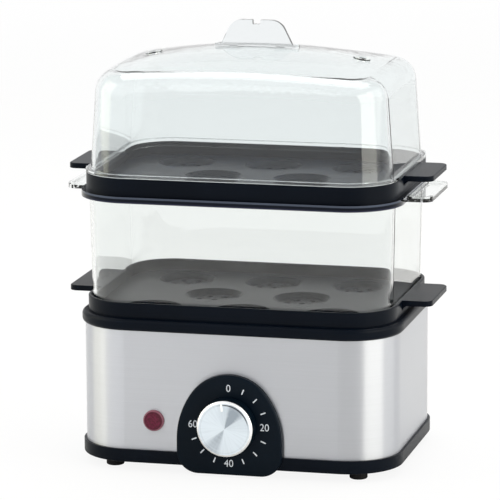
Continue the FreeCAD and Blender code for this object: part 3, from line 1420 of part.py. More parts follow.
def makeWiring():
    # The internal leads. Each runs square off one terminal and square on to the next.
    radius = d.wireRadius.value
    wireZ = (floorZ + d.blockHeight / 2).value
    blockFront = (d.blockY - d.blockHalfY).value
    blockBack = (d.blockY + d.blockHalfY).value
    pole = d.blockPole.value
    neutralX = d.blockX.value - pole
    earthX = d.blockX.value
    liveX = d.blockX.value + pole
    timerX = d.timerHalf.value / 2
    timerY = -(insideFront - d.timerDepth - d.timerCoverThick - d.bladeLength).value
    timerZ = (d.dialZ + d.timerHalf / 2).value
    statX = d.bladeApart.value
    statY = -d.thermostatY.value
    statZ = (clampZ - d.thermostatBodyHeight - d.bladeLength).value
    fuseX = d.fuseLength.value / 2
    fuseY = d.thermostatY.value
    fuseZ = (panUnder - d.fuseRadius).value
    gateX = d.elementGate.value
    gateY = (d.elementY + d.elementTail).value
    gateZ = elementZ.value
    lampX = -d.lensX.value
    lampY = -(d.bandY - d.lensBarrelLength - d.bulbPlug).value
    lampZ = d.lensZ.value
    run = d.wireRun.value
    side = d.wireSide.value
    apart = d.wireApart.value
    riseBack = d.wireRiseBack.value
    riseFront = -d.wireRiseFront.value
    lampTurn = -d.wireLampTurn.value
    returnTurn = -d.wireReturnTurn.value
    blockRun = d.wireBlockRun.value
    blockTurn = blockFront - blockRun
    fuseSide = fuseX + side
    underFuse = fuseZ - side
    behindGate = gateY + run
    clampX = earthX + side
    clampUnder = clampZ.value
    leads = [
        # the live pole to the timer's right blade
        [(liveX, blockFront, wireZ), (liveX, riseBack, wireZ), (timerX, riseFront, timerZ),
         (timerX, timerY, timerZ)],
        # the timer's left blade to the thermostat
        [(-timerX, timerY, timerZ + apart), (-timerX, timerY + run, timerZ + apart),
         (-statX, statY, statZ - side), (-statX, statY, statZ)],
        # the thermostat to the fuse
        [(statX, statY, statZ), (statX, statY, statZ - run), (fuseSide, fuseY, statZ - run),
         (fuseSide, fuseY, fuseZ), (fuseX, fuseY, fuseZ)],
        # the fuse to the element's left end, under the element
        [(-fuseX, fuseY, fuseZ), (-fuseSide, fuseY, fuseZ), (-fuseSide, fuseY, underFuse),
         (-fuseSide, behindGate, underFuse), (-gateX, behindGate, gateZ), (-gateX, gateY, gateZ)],
        # the element's right end to the neutral pole
        [(gateX, gateY, gateZ), (gateX, behindGate, gateZ), (neutralX, behindGate, wireZ),
         (neutralX, blockBack, wireZ)],
        # the lamp to the timer's left blade
        [(lampX + apart, lampY, lampZ), (lampX + apart, lampTurn, lampZ),
         (-timerX, timerY + run, timerZ - apart), (-timerX, timerY, timerZ - apart)],
        # the lamp to the neutral pole
        [(lampX - apart, lampY, lampZ), (lampX - apart, returnTurn, lampZ),
         (neutralX, blockTurn, wireZ), (neutralX, blockFront, wireZ)],
        # the earth pole to the element's clamp
        [(earthX, blockFront, wireZ), (earthX, blockTurn, wireZ),
         (clampX, 0, wireZ + blockRun), (clampX, 0, clampUnder)],
    ]
    wires = doc.addObject("Part::Feature", "wiring")
    wires.Label = "wiring"
    wires.Shape = Part.makeCompound([tube(lead, radius, d.wireBend.value) for lead in leads])
    wires.Placement = FreeCAD.Placement(FreeCAD.Vector(0, middleY.value, 0), FreeCAD.Rotation())
    return wires


builders = [
    makeBasePlate, makeFeet, makeBand, makeTopRim, makeBaseScrews, makeGasket, makePan,
    makeClampStrip, makeThermostatBracket, makeThermostat, makeFuse, makeElement, makePanel,
    makePanelScrews, makeTimerCase, makeTimerCover, makeTimerScrews, makeTimerShaft, makeTimerCam,
    makeTimerContacts, makeKnobBody, makeKnobCap, makeLens, makeLampClip, makeLamp, makeGland,
    makeBlock, makePoles, makeWiring, makeChamber, makeLid, makeGrip,
]
parts = [build() for build in builders]
studs = pairs(d.studX, d.studY)
parts.append(makeNuts("pan_nuts", studs, ledgeUnder, d.nutHeight, d.nutRadius, d.studRadius))
parts.append(makeNuts("middle_nut", [(0, 0)], bracketZ, d.middleNutHeight, d.middleNut, d.middleStud))
parts.append(makeTray("lower_tray", trayZ, d.lowerInset, d.lowerHeight, d.rimInset + d.nestGap,
                      d.lowerHandle))
mouth = d.chamberInset - d.chamberDraft + d.clearWall
parts.append(makeTray("upper_tray", upperZ, d.upperInset, d.upperHeight, mouth + d.nestGap,
                      d.upperHandle))

doc.recompute()
for item in doc.Objects:
    if "Invalid" in item.State or "Error" in item.State:
        raise RuntimeError(f"{item.Name} failed to compute")
for part in parts:
    if part.Shape.isNull() or not part.Shape.isValid():
        raise RuntimeError(f"{part.Label} has no valid shape")

os.makedirs("parts", exist_ok=True)
for part in parts:
    part.Shape.exportStep(f"parts/{part.Label}.step")
    box = part.Shape.BoundBox
    print(f"{part.Label:20s} {len(part.Shape.Solids)} solids {part.Shape.Volume:10.1f} mm3 "
          f"x {box.XMin:.1f}..{box.XMax:.1f} y {box.YMin:.1f}..{box.YMax:.1f} "
          f"z {box.ZMin:.1f}..{box.ZMax:.1f}")
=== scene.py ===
import json
import math

import bpy
from mathutils import Matrix, Vector


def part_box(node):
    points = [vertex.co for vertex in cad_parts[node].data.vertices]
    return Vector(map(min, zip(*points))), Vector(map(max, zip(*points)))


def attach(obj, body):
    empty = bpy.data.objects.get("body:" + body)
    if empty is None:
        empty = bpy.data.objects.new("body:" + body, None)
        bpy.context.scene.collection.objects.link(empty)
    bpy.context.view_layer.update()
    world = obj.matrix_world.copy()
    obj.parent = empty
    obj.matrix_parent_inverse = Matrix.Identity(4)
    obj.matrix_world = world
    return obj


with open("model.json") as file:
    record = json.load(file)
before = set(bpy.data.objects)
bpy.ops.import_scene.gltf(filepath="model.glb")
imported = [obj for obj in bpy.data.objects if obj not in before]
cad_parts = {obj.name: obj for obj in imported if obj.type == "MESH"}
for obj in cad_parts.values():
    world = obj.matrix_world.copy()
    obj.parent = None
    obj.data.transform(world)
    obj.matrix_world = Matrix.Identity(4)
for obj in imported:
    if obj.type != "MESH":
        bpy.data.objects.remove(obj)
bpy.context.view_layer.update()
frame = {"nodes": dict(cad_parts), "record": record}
nodes = frame["nodes"]
print("frame loaded:", len(nodes), "nodes")

# Where things stand in the CAD frame, in metres
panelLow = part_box("control_panel")[0]
capLow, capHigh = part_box("knob_cap")
lensLow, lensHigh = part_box("indicator_lens")
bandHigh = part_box("housing_band")[1]
dial = {
    "x": (capLow.x + capHigh.x) / 2,
    "z": (capLow.z + capHigh.z) / 2,
    "face": panelLow.y,
    "capFront": capLow.y,
    "capRadius": (capHigh.x - capLow.x) / 2,
}
lens = {
    "x": (lensLow.x + lensHigh.x) / 2,
    "z": (lensLow.z + lensHigh.z) / 2,
    "radius": (lensHigh.x - lensLow.x) / 2,
}


# Shader building

class Wire:
    # one output socket; arithmetic on it adds Math nodes
    def __init__(self, shade, socket):
        self.shade = shade
        self.socket = socket

    def __add__(self, other):
        return self.shade.math("ADD", self, other)

    def __radd__(self, other):
        return self.shade.math("ADD", other, self)

    def __sub__(self, other):
        return self.shade.math("SUBTRACT", self, other)

    def __rsub__(self, other):
        return self.shade.math("SUBTRACT", other, self)

    def __mul__(self, other):
        return self.shade.math("MULTIPLY", self, other)

    def __pow__(self, other):
        return self.shade.math("POWER", self, other)


class Shade:
    # a node tree being filled; every node comes from node()
    def __init__(self, owner):
        self.owner = owner
        owner.use_nodes = True
        self.tree = owner.node_tree
        self.tree.nodes.clear()

    def node(self, kind, settings=None, sockets=None, out=0):
        made = self.tree.nodes.new(kind)
        for name, value in (settings or {}).items():
            setattr(made, name, value)
        for name, value in (sockets or {}).items():
            socket = made.inputs[name]
            if isinstance(value, Wire):
                self.tree.links.new(value.socket, socket)
            else:
                socket.default_value = value
        return Wire(self, made.outputs[out] if len(made.outputs) else None)

    def math(self, operation, *values):
        return self.node("ShaderNodeMath", {"operation": operation}, dict(enumerate(values)))

    def place(self):
        return self.node("ShaderNodeTexCoord", out="Object")

    def axes(self, vector):
        parts = self.node("ShaderNodeSeparateXYZ", sockets={0: vector}).socket.node
        return [Wire(self, parts.outputs[index]) for index in range(3)]

    def around(self, centre):
        # level and upward distance from an axis that runs front to back, and the radius
        x, y, z = self.axes(self.place())
        across = x - centre["x"]
        up = z - centre["z"]
        return across, up, (across * across + up * up) ** 0.5

    def stretch(self, vector, scale):
        return self.node("ShaderNodeVectorMath", {"operation": "MULTIPLY"}, {0: vector, 1: scale})

    def noise(self, vector, scale, detail=2.0, rough=0.5):
        return self.node("ShaderNodeTexNoise", sockets={
            "Vector": vector, "Scale": scale, "Detail": detail, "Roughness": rough})

    def span(self, value, ends, results=(0.0, 1.0)):
        return self.node("ShaderNodeMapRange", {"interpolation_type": "SMOOTHSTEP"}, {
            "Value": value, "From Min": ends[0], "From Max": ends[1],
            "To Min": results[0], "To Max": results[1]})

    def inset(self, radius, rim, ends, results=(0.0, 1.0)):
        # as span(), with the ends measured inwards from a rim
        return self.span(radius, [rim - end for end in ends], results)

    def blend(self, share, first, second):
        colours = [value if isinstance(value, Wire) else (*value, 1) for value in (first, second)]
        sockets = {0: share, 6: colours[0], 7: colours[1]}
        return self.node("ShaderNodeMix", {"data_type": "RGBA"}, sockets, 2)

    def bump(self, height, strength, distance):
        return self.node("ShaderNodeBump", sockets={
            "Height": height, "Strength": strength, "Distance": distance})

    def seen(self):
        # the camera's own rays, straight or through the clear parts
        isCamera = self.node("ShaderNodeLightPath", out="Is Camera Ray")
        isThrough = self.node("ShaderNodeLightPath", out="Is Transmission Ray")
        return self.math("MAXIMUM", isCamera, isThrough)

    def finish(self, sockets):
        shader = self.node("ShaderNodeBsdfPrincipled", sockets=sockets)
        self.node("ShaderNodeOutputMaterial", sockets={0: shader})
        return self.owner


def newShade(name):
    return Shade(bpy.data.materials.new(name))


falling = (1.0, 0.0)

brushed = {
    "fineRise": 7600.0, "broadRise": 1400.0, "cloudScale": 14.0,
    "fineShare": 0.8, "broadShare": 0.2, "contrast": (0.25, 0.75),
    "streakRough": 0.10, "cloudRough": 0.04, "depth": 0.00003, "rotation": 0.25,
}


def brushedSteel(name, settings):
    # long fine scratches run level round the sheet, and draw its highlights out upwards
    shade = newShade(name)
    place = shade.place()
    along = settings["along"]
    fine = shade.noise(shade.stretch(place, (along, along, brushed["fineRise"])), 1.0, 3.0)
    broad = shade.noise(shade.stretch(place, (along / 4, along / 4, brushed["broadRise"])), 1.0)
    cloud = shade.noise(place, brushed["cloudScale"])
    streak = fine * brushed["fineShare"] + broad * brushed["broadShare"]
    share = shade.span(streak, brushed["contrast"])
    roughness = (settings["rough"] + (streak - 0.5) * brushed["streakRough"]
                 + (cloud - 0.5) * brushed["cloudRough"])
    return shade.finish({
        "Base Color": shade.blend(share, settings["dark"], settings["light"]),
        "Metallic": 1.0, "Roughness": roughness,
        "Normal": shade.bump(fine, settings["bump"], brushed["depth"]),
        "Anisotropic": settings["drawn"], "Anisotropic Rotation": brushed["rotation"],
    })


moulded = {
    "grainRough": 0.6, "slowScale": 22.0, "slowShare": 0.7, "grainShare": 0.3,
    "contrast": (0.35, 0.65), "paleGain": 1.3, "paleLift": 0.0004,
    "grainSpread": 0.12, "slowSpread": 0.08, "depth": 0.00006,
}


def mouldedPlastic(name, colour, settings):
    # spark-eroded mould grain over a slow unevenness
    shade = newShade(name)
    place = shade.place()
    grain = shade.noise(place, settings["grain"], rough=moulded["grainRough"])
    slow = shade.noise(place, moulded["slowScale"])
    pale = tuple(min(1.0, part * moulded["paleGain"] + moulded["paleLift"]) for part in colour)
    share = shade.span(slow * moulded["slowShare"] + grain * moulded["grainShare"],
                       moulded["contrast"])
    roughness = (settings["rough"] + (grain - 0.5) * moulded["grainSpread"]
                 + (slow - 0.5) * moulded["slowSpread"])
    return shade.finish({
        "Base Color": shade.blend(share, colour, pale), "Roughness": roughness,
        "Normal": shade.bump(grain, settings["bump"], moulded["depth"]),
        "Specular IOR Level": settings["gloss"],
    })


clear = {
    "flowStretch": (1.0, 1.0, 0.45), "flowScale": 16.0,
    "scuffStretch": (1.0, 1.0, 3.0), "scuffScale": 260.0, "scuffRough": 0.7,
    "scuffFrom": (0.55, 0.8), "scuffSpread": 0.06, "depth": 0.0004,
}


def brimPaintedReflection(shade, place, brim):
    # painted reflection: the thick brim is painted with the black of the tray that stands in it and
    # a bluish band below, under a painted highlight along its light top edge
    low, high, reach = brim["low"], brim["high"], brim["reach"]
    x, y, z = shade.axes(place)
    within = shade.span(z, (low - brim["soft"], low + brim["soft"])) * shade.span(
        shade.math("ABSOLUTE", x), (reach, reach + brim["sideSoft"]), falling)
    lit = shade.span(z, (high - brim["litFrom"], high - brim["litTo"]))
    under = shade.span(z, (low + brim["underFrom"], low + brim["underTo"]), falling)
    return within, shade.blend(lit, shade.blend(under, brim["dark"], brim["under"]), brim["light"])


def clearPlastic(name, settings):
    # polished clear moulding: it lets the lamps through, and bends what is seen through it
    shade = newShade(name)
    place = shade.place()
    flow = shade.noise(shade.stretch(place, clear["flowStretch"]), clear["flowScale"])
    scuff = shade.noise(shade.stretch(place, clear["scuffStretch"]), clear["scuffScale"], 4.0,
                        clear["scuffRough"])
    tint = shade.blend(flow, settings["tint"], settings["deep"])
    paintedReflectionShare = 0.0
    if "brim" in settings:
        # on the chamber's brim only: painted reflection of the black tray and a painted highlight
        # along the top, made metallic so they show as reflection
        within, paintedBand = brimPaintedReflection(shade, place, settings["brim"])
        tint = shade.blend(within, tint, paintedBand)
        paintedReflectionShare = within * settings["brim"]["strength"]
    roughness = settings["rough"] + shade.span(scuff, clear["scuffFrom"]) * clear["scuffSpread"]
    glass = shade.node("ShaderNodeBsdfPrincipled", sockets={
        "Base Color": tint, "Roughness": roughness, "Metallic": paintedReflectionShare,
        "Normal": shade.bump(flow, settings["ripple"], clear["depth"]),
        "Transmission Weight": 1.0, "IOR": settings["ior"],
    })
    through = shade.node("ShaderNodeBsdfTransparent", sockets={"Color": (*settings["shadow"], 1)})
    isShadow = shade.node("ShaderNodeLightPath", out="Is Shadow Ray")
    both = shade.node("ShaderNodeMixShader", sockets={0: isShadow, 1: glass, 2: through})
    shade.node("ShaderNodeOutputMaterial", sockets={0: both})
    return shade.owner


def spunAluminium(name, settings):
    # turned face: fine rings about the knob's axis; two dark fans painted into its colour as a
    # painted reflection, the bevel painted near white as a painted highlight, and a painted groove
    # shadow on the upper right
    shade = newShade(name)
    across, up, radius = shade.around(dial)
    angle = shade.math("ARCTAN2", up, across)
    nearer = shade.math("COSINE", angle - settings["fanAngle"])
    # painted reflection: two dark fans fixed to the face stand in for the spun metal's reflection
    paintedFan = shade.span(nearer * nearer, settings["fanEdge"]) * shade.span(
        nearer, settings["fanSides"], (settings["farFan"], 1.0))
    paintedFan = paintedFan * shade.span(radius, settings["fanReach"], settings["fanFade"]) + shade.span(
        nearer, settings["broadShadeFrom"]) * settings["broadShade"]
    wander = shade.noise(shade.node("ShaderNodeCombineXYZ", sockets={
        0: radius * settings["wander"][0], 1: angle * settings["wander"][1]}), 1.0, 3.0)
    streaks = shade.noise(shade.node("ShaderNodeCombineXYZ", sockets={
        0: radius * settings["streaks"][0], 1: angle * settings["streaks"][1]}), 1.0, 3.0)
    face = shade.inset(radius, dial["capRadius"], settings["faceEdge"], falling)
    # painted shade of the fans, with the radial streaks, darkens the face towards the dark colour
    paintedFansAndStreaks = (paintedFan * (settings["fanBase"] + wander * settings["fanWander"])
            * shade.span(radius, settings["hub"], settings["hubFade"])
            + (streaks - settings["streakMiddle"]) * settings["streakShare"]) * face
    # the polished bevel takes the rim colour, painted near white as a painted highlight
    turned = shade.blend(paintedFansAndStreaks, shade.blend(face, settings["rim"], settings["light"]),
                         settings["dark"])
    # painted shadow in the groove inside the bevel, shown only on the upper right arc
    groove = (shade.inset(radius, dial["capRadius"], settings["grooveInner"])
              * shade.inset(radius, dial["capRadius"], settings["grooveOuter"], falling))
    grooveShadowArc = groove * shade.span(nearer, settings["grooveArc"], settings["grooveFade"])
    rings = shade.math("SINE", radius * settings["rings"])
    roughness = (settings["rough"] - face * settings["faceRough"]
                 + wander * settings["wanderRough"])
    return shade.finish({
        "Base Color": shade.blend(grooveShadowArc, turned, settings["groove"]), "Metallic": 1.0,
        "Roughness": roughness,
        "Normal": shade.bump(rings * 0.5 + wander, settings["bump"], settings["depth"]),
    })


def lampLens(name, settings):
    # ribbed red lens with a paler rim
    shade = newShade(name)
    across, up, radius = shade.around(lens)
    rim = shade.inset(radius, lens["radius"], settings["rimEdge"])
    shadow = shade.inset(radius, lens["radius"], settings["shadowEdge"]) * (1 - rim)
    ribs = shade.math("SINE", radius * settings["ribs"])
    mottle = shade.noise(shade.place(), settings["mottle"])
    core = shade.blend(shade.span(mottle, settings["contrast"]), settings["dark"],
                       settings["light"])
    core = shade.blend(shadow * settings["shadowShare"], core, settings["shadow"])
    return shade.finish({
        "Base Color": shade.blend(rim * settings["rimShare"], core, settings["rim"]),
        "Roughness": settings["rough"] + mottle * settings["mottleRough"],
        "Normal": shade.bump(ribs, settings["bump"], settings["depth"]),
        "Specular IOR Level": settings["gloss"], "Coat Weight": settings["coat"],
        "Coat Roughness": settings["coatRough"],
    })


plated = {
    "cloudScale": 60.0, "cloudShare": 0.6, "fineStretch": (1.0, 1.0, 4.0), "fineScale": 700.0,
    "fineRough": 0.6, "fineShare": 0.4, "contrast": (0.35, 0.65), "fineSpread": 0.16,
    "bump": 0.12, "depth": 0.00005,
}


def plainMetal(name, light, dark, rough):
    # plated or drawn metal with soft cloudy wear
    shade = newShade(name)
    place = shade.place()
    cloud = shade.noise(place, plated["cloudScale"], 3.0)
    fine = shade.noise(shade.stretch(place, plated["fineStretch"]), plated["fineScale"], 3.0,
                       plated["fineRough"])
    share = shade.span(cloud * plated["cloudShare"] + fine * plated["fineShare"],
                       plated["contrast"])
    return shade.finish({
        "Base Color": shade.blend(share, dark, light), "Metallic": 1.0,
        "Roughness": rough + (fine - 0.5) * plated["fineSpread"],
        "Normal": shade.bump(fine, plated["bump"], plated["depth"]),
    })


printed = {
    "speckScale": 2600.0, "contrast": (0.35, 0.7), "worn": 0.8, "rough": 0.55,
    "speckRough": 0.1, "bump": 0.1, "depth": 0.00003,
}


def printedInk(name, colour):
    # screen-printed marks with a slightly broken surface
    shade = newShade(name)
    speck = shade.noise(shade.place(), printed["speckScale"])
    worn = tuple(part * printed["worn"] for part in colour)
    return shade.finish({
        "Base Color": shade.blend(shade.span(speck, printed["contrast"]), colour, worn),
        "Roughness": printed["rough"] + speck * printed["speckRough"],
        "Normal": shade.bump(speck, printed["bump"], printed["depth"]),
    })


finishes = {
    "black_plastic": mouldedPlastic("satinBlack", (0.0008, 0.0026, 0.0065), {
        "grain": 1700.0, "rough": 0.33, "bump": 0.12, "gloss": 0.08}),
    "black_gloss": mouldedPlastic("panelBlack", (0.0016, 0.0050, 0.0100), {
        "grain": 2100.0, "rough": 0.34, "bump": 0.08, "gloss": 0.08}),
    "steel_brushed": brushedSteel("bandSteel", {
        "light": (0.549, 0.561, 0.594), "dark": (0.514, 0.525, 0.556), "rough": 0.36,
        "along": 22.0, "bump": 0.05, "drawn": 0.95}),
    "steel_pan": brushedSteel("panSteel", {
        "light": (0.70, 0.70, 0.70), "dark": (0.60, 0.60, 0.60), "rough": 0.28,
        "along": 90.0, "bump": 0.08, "drawn": 0.3}),
    "steel_plain": plainMetal("platedSteel", (0.62, 0.62, 0.60), (0.46, 0.46, 0.45), 0.34),
    "sheath": plainMetal("elementSheath", (0.16, 0.14, 0.13), (0.07, 0.065, 0.06), 0.55),
    "clear": clearPlastic("clearMoulding", {
        "tint": (0.925, 0.955, 0.956), "deep": (0.905, 0.940, 0.942),
        "shadow": (0.93, 0.94, 0.94), "rough": 0.015, "ior": 1.49, "ripple": 0.05}),
    "clear_grip": clearPlastic("clearGrip", {
        "tint": (0.90, 0.925, 0.935), "deep": (0.87, 0.90, 0.91),
        "shadow": (0.88, 0.9, 0.9), "rough": 0.04, "ior": 1.49, "ripple": 0.05}),
    "aluminium": spunAluminium("spunCap", {
        # dark is the colour of the painted fans, a painted reflection; rim is the bevel, painted
        # near white as a painted highlight
        "light": (0.74, 0.81, 0.88), "dark": (0.33, 0.375, 0.43), "rim": (0.97, 0.98, 0.99),
        # the painted dark fans, a painted reflection: direction, edges, the far one's strength,
        # fading outwards, and a broad painted shade
        "fanAngle": math.radians(58), "fanEdge": (0.80, 1.0), "fanSides": (-0.2, 0.2),
        "farFan": 0.65, "fanReach": (0.004, 0.014), "fanFade": (1.1, 0.75),
        "broadShadeFrom": (0.1, 1.0), "broadShade": 0.2, "fanBase": 0.65, "fanWander": 0.7,
        "hub": (0.0, 0.003), "hubFade": (0.5, 1.0),
        # unevenness along the radius and round the axis
        "wander": (900.0, 1.2), "streaks": (60.0, 9.0), "streakMiddle": 0.45,
        "streakShare": 0.5, "rings": 24000.0,
        # metres inwards from the rim
        "faceEdge": (0.0014, 0.0011), "grooveInner": (0.0027, 0.0024),
        "grooveOuter": (0.0020, 0.0018), "grooveArc": (0.6, 0.92), "grooveFade": (0.1, 1.0),
        # the groove colour is a painted groove shadow
        "groove": (0.04, 0.04, 0.05), "rough": 0.42, "faceRough": 0.06, "wanderRough": 0.06,
        "bump": 0.12, "depth": 0.00004}),
    "red_lens": lampLens("redLens", {
        "light": (0.145, 0.005, 0.036), "dark": (0.070, 0.002, 0.014),
        "rim": (0.30, 0.12, 0.16), "shadow": (0.055, 0.002, 0.012),
        # metres inwards from the rim
        "rimEdge": (0.0011, 0.0005), "shadowEdge": (0.0024, 0.0012),
        "rimShare": 0.8, "shadowShare": 0.7, "ribs": 9000.0, "mottle": 900.0,
        "contrast": (0.3, 0.7), "rough": 0.20, "mottleRough": 0.08, "bump": 0.25,
        "depth": 0.00008, "gloss": 0.22, "coat": 0.12, "coatRough": 0.08}),
    "bulb": clearPlastic("bulbGlass", {
        "tint": (0.97, 0.9, 0.86), "deep": (0.95, 0.84, 0.78), "shadow": (0.9, 0.8, 0.75),
        "rough": 0.02, "ior": 1.45, "ripple": 0.1}),
    "brass": plainMetal("contactBrass", (0.78, 0.62, 0.32), (0.60, 0.45, 0.20), 0.32),
    "rubber_black": mouldedPlastic("footRubber", (0.009, 0.009, 0.010), {
        "grain": 900.0, "rough": 0.75, "bump": 0.3, "gloss": 0.25}),
    "silicone": mouldedPlastic("sealSilicone", (0.62, 0.62, 0.60), {
        "grain": 700.0, "rough": 0.5, "bump": 0.15, "gloss": 0.4}),
    "white_plastic": mouldedPlastic("naturalNylon", (0.66, 0.66, 0.63), {
        "grain": 1200.0, "rough": 0.45, "bump": 0.12, "gloss": 0.4}),
    "wire": mouldedPlastic("leadInsulation", (0.34, 0.035, 0.03), {
        "grain": 1500.0, "rough": 0.5, "bump": 0.2, "gloss": 0.35}),
    "thermostat_metal": plainMetal("thermostatCap", (0.76, 0.76, 0.75), (0.60, 0.60, 0.60), 0.3),
}
ink = printedInk("dialInk", (0.76, 0.81, 0.88))
pointerMetal = plainMetal("pointerMetal", (1.0, 1.0, 1.0), (0.96, 0.97, 0.98), 0.35)

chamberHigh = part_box("chamber")[1].z
chamberClear = clearPlastic("chamberMoulding", {
    "tint": (0.933, 0.950, 0.942), "deep": (0.916, 0.936, 0.928), "shadow": (0.93, 0.94, 0.94),
    "rough": 0.015, "ior": 1.49, "ripple": 0.05,
    # the brim's colours are painted: dark for the reflection of the black tray in it, under for a
    # bluish painted band below, light for a painted highlight along its top edge
    "brim": {
        "low": chamberHigh - 0.0037, "high": chamberHigh, "reach": bandHigh.x + 0.0016,
        "soft": 0.0003, "sideSoft": 0.0004, "litFrom": 0.0014, "litTo": 0.0009,
        "underFrom": 0.0005, "underTo": 0.0012, "strength": 0.95,
        "dark": (0.010, 0.012, 0.019), "under": (0.030, 0.034, 0.062),
        "light": (0.075, 0.09, 0.125)},
})

for entry in frame["record"]["subparts"]:
    node = nodes[entry["node"]]
    node.data.materials.clear()
    node.data.materials.append(finishes[entry["material_slot"]])
nodes["chamber"].data.materials[0] = chamberClear
print("finishes made:", len(finishes) + 1)


# Dial markings, printed on the panel's face

def addPiece(name, mesh, body, material):
    mesh.materials.clear()
    mesh.materials.append(material)
    piece = bpy.data.objects.new(name, mesh)
    bpy.context.scene.collection.objects.link(piece)
    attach(piece, body)


def addSlabs(name, outlines, proud, face, body, material):
    # flat shapes on a plane that faces the front, standing a little proud of it
    vertices, faces = [], []
    for corners in outlines:
        start, count = len(vertices), len(corners)
        back = [start + index for index in range(count)]
        front = [index + count for index in back]
        vertices += [(x, face, z) for x, z in corners]
        vertices += [(x, face - proud, z) for x, z in corners]
        faces += [tuple(front), tuple(reversed(back))]
        for here in range(count):
            after = (here + 1) % count
            faces.append((back[here], back[after], front[after], front[here]))
    mesh = bpy.data.meshes.new(name)
    mesh.from_pydata(vertices, [], faces)
    mesh.validate()
    addPiece(name, mesh, body, material)


def radialBar(centreZ, degrees, settings):
    # a bar along a radius, with its corners cut
    angle = math.radians(degrees)
    inner, width = settings["inner"], settings["width"]
    across = Vector((math.cos(angle), -math.sin(angle)))
    along = Vector((math.sin(angle), math.cos(angle)))
    cut = width * settings["cornerShare"]
    points = []
    for reach, side in ((inner, -1), (settings["outer"], -1), (settings["outer"], 1), (inner, 1)):
        inwards = cut if reach == inner else -cut
        near = along * (reach + inwards) + across * side * width / 2
        end = along * reach + across * side * (width / 2 - cut)
        points += [end, near] if (reach == inner) == (side < 0) else [near, end]
    return [(dial["x"] + point.x, centreZ + point.y) for point in points]


ticks = {
    "inner": 0.0204, "outer": 0.0236, "width": 0.00075, "cornerShare": 0.25, "proud": 0.00004,
    "step": 22.5, "last": 11, "numeralEvery": 4,
    # the ring is printed a little below the knob's axis
    "drop": 0.0005,
}
ringZ = dial["z"] - ticks["drop"]
bars = [radialBar(ringZ, count * ticks["step"], ticks)
        for count in range(1, ticks["last"] + 1) if count % ticks["numeralEvery"]]
addSlabs("dialTicks", bars, ticks["proud"], dial["face"], "base", ink)

numerals = {
    "height": 0.0060, "narrow": 0.94, "proud": 0.00004,
    # text, degrees clockwise from the top, radius
    "marks": [("0", 0, 0.0219), ("20", 90, 0.0211), ("40", 180, 0.0221), ("60", 270, 0.0211)],
}
for text, degrees, radius in numerals["marks"]:
    curve = bpy.data.curves.new("numeral" + text, "FONT")
    curve.body = text
    curve.size = numerals["height"]
    curve.align_x = "CENTER"
    curve.align_y = "CENTER"
    curve.extrude = numerals["proud"] / 2
    holder = bpy.data.objects.new("numeralCurve", curve)
    bpy.context.scene.collection.objects.link(holder)
    bpy.context.view_layer.update()
    mesh = bpy.data.meshes.new_from_object(holder)
    bpy.data.objects.remove(holder)
    centreX = dial["x"] + radius * math.sin(math.radians(degrees))
    centreZ = ringZ + radius * math.cos(math.radians(degrees))
    middleY = dial["face"] - numerals["proud"] / 2
    for vertex in mesh.vertices:
        x, y, z = vertex.co
        vertex.co = (centreX + x * numerals["narrow"], middleY - z, centreZ + y)
    addPiece("dialNumeral" + text, mesh, "base", ink)

pointer = {
    "inner": 0.0104, "outer": 0.0148, "width": 0.0013, "cornerShare": 0.25, "proud": 0.00006,
    "turn": -7.0, "dish": 0.0003,
}
addSlabs("knobPointer", [radialBar(dial["z"], pointer["turn"], pointer)], pointer["proud"],
         dial["capFront"] + pointer["dish"], "knob", pointerMetal)
print("dial printed")


# Studio

def outwards(azimuth, elevation):
    # direction from the part to a lamp or the camera; azimuth runs from the front towards +X
    return Vector((math.sin(azimuth) * math.cos(elevation),
                   -math.cos(azimuth) * math.cos(elevation), math.sin(elevation)))


ground = {
    "sides": 96, "radius": 2.6, "fade": (0.9, 2.2), "colour": (0.93, 0.93, 0.93, 1),
    "white": 0.89,
}


def makeFloor():
    rim = [2 * math.pi * step / ground["sides"] for step in range(ground["sides"])]
    vertices = [(0, 0, 0)]
    vertices += [(ground["radius"] * math.cos(turn), ground["radius"] * math.sin(turn), 0)
                 for turn in rim]
    faces = [(0, 1 + step, 1 + (step + 1) % len(rim)) for step in range(len(rim))]
    mesh = bpy.data.meshes.new("floor")
    mesh.from_pydata(vertices, [], faces)
    floor = bpy.data.objects.new("floor", mesh)
    bpy.context.scene.collection.objects.link(floor)
    shade = newShade("floorWhite")
    x, y, z = shade.axes(shade.place())
    fade = shade.span((x * x + y * y) ** 0.5, ground["fade"])
    solid = shade.node("ShaderNodeBsdfDiffuse", sockets={"Color": ground["colour"]})
    # as the camera sees it, the floor is white with a light shadow
    white = shade.node("ShaderNodeEmission", sockets={"Color": (1, 1, 1, 1), "Strength": 1.0})
    lit = shade.node("ShaderNodeMixShader", sockets={
        0: shade.seen() * ground["white"], 1: solid, 2: white})
    gone = shade.node("ShaderNodeBsdfTransparent")
    both = shade.node("ShaderNodeMixShader", sockets={0: fade, 1: lit, 2: gone})
    shade.node("ShaderNodeOutputMaterial", sockets={0: both})
    floor.data.materials.append(shade.owner)


surroundings = {
    # what shiny parts mirror: grey in front, lighter on the left, white low down behind
    "front": 0.76, "left": 0.30, "leftEnds": (-0.55, -0.05),
    "behindEnds": (-0.35, 0.35), "lowEnds": (0.25, 0.8),
    "fill": 0.42,
}


def makeWorld():
    world = bpy.data.worlds.new("studio")
    bpy.context.scene.world = world
    shade = Shade(world)
    x, y, z = shade.axes(shade.node("ShaderNodeTexCoord", out="Generated"))
    behind = (shade.span(y, surroundings["behindEnds"])
              * shade.span(z, surroundings["lowEnds"], falling))
    mirrored = surroundings["front"] + shade.span(
        x, surroundings["leftEnds"], (surroundings["left"], 0.0))
    mirrored = mirrored + behind * (1.0 - mirrored)
    isGlossy = shade.node("ShaderNodeLightPath", out="Is Glossy Ray")
    light = surroundings["fill"] + isGlossy * (mirrored - surroundings["fill"])
    strength = light + shade.seen() * (1.0 - light)
    background = shade.node("ShaderNodeBackground", sockets={
        "Color": (1, 1, 1, 1), "Strength": strength})
    shade.node("ShaderNodeOutputWorld", sockets={0: background})


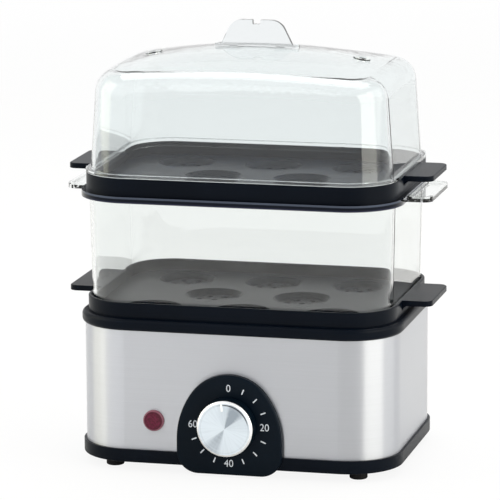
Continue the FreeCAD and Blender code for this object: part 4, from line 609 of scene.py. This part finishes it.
lamps = {
    "aim": (0, 0, 0.10),
    # name, azimuth with elevation and distance, size, power, colour
    "placed": [
        ("keyLamp", (-47, 30, 1.6), (1.8, 1.4), 5.8, (1.0, 1.0, 1.0)),
        ("rightLamp", (68, 21, 1.70), (1.40, 1.5), 11.2, (1.0, 0.975, 0.87)),
        ("rightWide", (86, 21, 1.80), (3.00, 1.5), 13.0, (1.0, 0.985, 0.90)),
        ("leftLamp", (-80, 21, 1.65), (1.2, 1.4), 7.2, (1.0, 0.965, 0.70)),
        ("topLamp", (180, 73, 1.98), (2.0, 1.2), 23.0, (1.0, 1.0, 1.0)),
    ],
}


def makeLamp(name, place, size, power, colour):
    light = bpy.data.lights.new(name, "AREA")
    light.color = colour
    light.shape = "RECTANGLE"
    light.size, light.size_y = size
    light.energy = power
    lamp = bpy.data.objects.new(name, light)
    direction = outwards(math.radians(place[0]), math.radians(place[1]))
    lamp.location = direction * place[2] + Vector(lamps["aim"])
    lamp.rotation_euler = (-direction).to_track_quat("-Z", "Y").to_euler()
    lamp.visible_camera = False
    bpy.context.scene.collection.objects.link(lamp)


view = {
    "azimuth": 14.056, "elevation": 11.407, "roll": -0.291,
    "distance": 2.1684, "aim": (-0.00486, 0.00215, 0.1186),
    "sensor": 36.0, "focal": 7.4215, "farthest": 20.0,
}


def makeCamera():
    azimuth, elevation, roll = (math.radians(view[key]) for key in ("azimuth", "elevation", "roll"))
    back = outwards(azimuth, elevation)
    right = Vector((math.cos(azimuth), math.sin(azimuth), 0))
    up = back.cross(right)
    turnedRight = right * math.cos(roll) + up * math.sin(roll)
    turnedUp = up * math.cos(roll) - right * math.sin(roll)
    place = Vector(view["aim"]) + back * view["distance"]
    camera = bpy.data.objects.new("camera", bpy.data.cameras.new("camera"))
    camera.data.sensor_width = view["sensor"]
    camera.data.lens = view["focal"] * view["sensor"]
    camera.data.clip_end = view["farthest"]
    turn = Matrix((turnedRight, turnedUp, back)).transposed()
    camera.matrix_world = Matrix.Translation(place) @ turn.to_4x4()
    bpy.context.scene.collection.objects.link(camera)
    bpy.context.scene.camera = camera


makeFloor()
makeWorld()
for lamp in lamps["placed"]:
    makeLamp(*lamp)
makeCamera()
bpy.context.scene.view_settings.view_transform = "Standard"
print("studio ready")

bpy.context.view_layer.update()
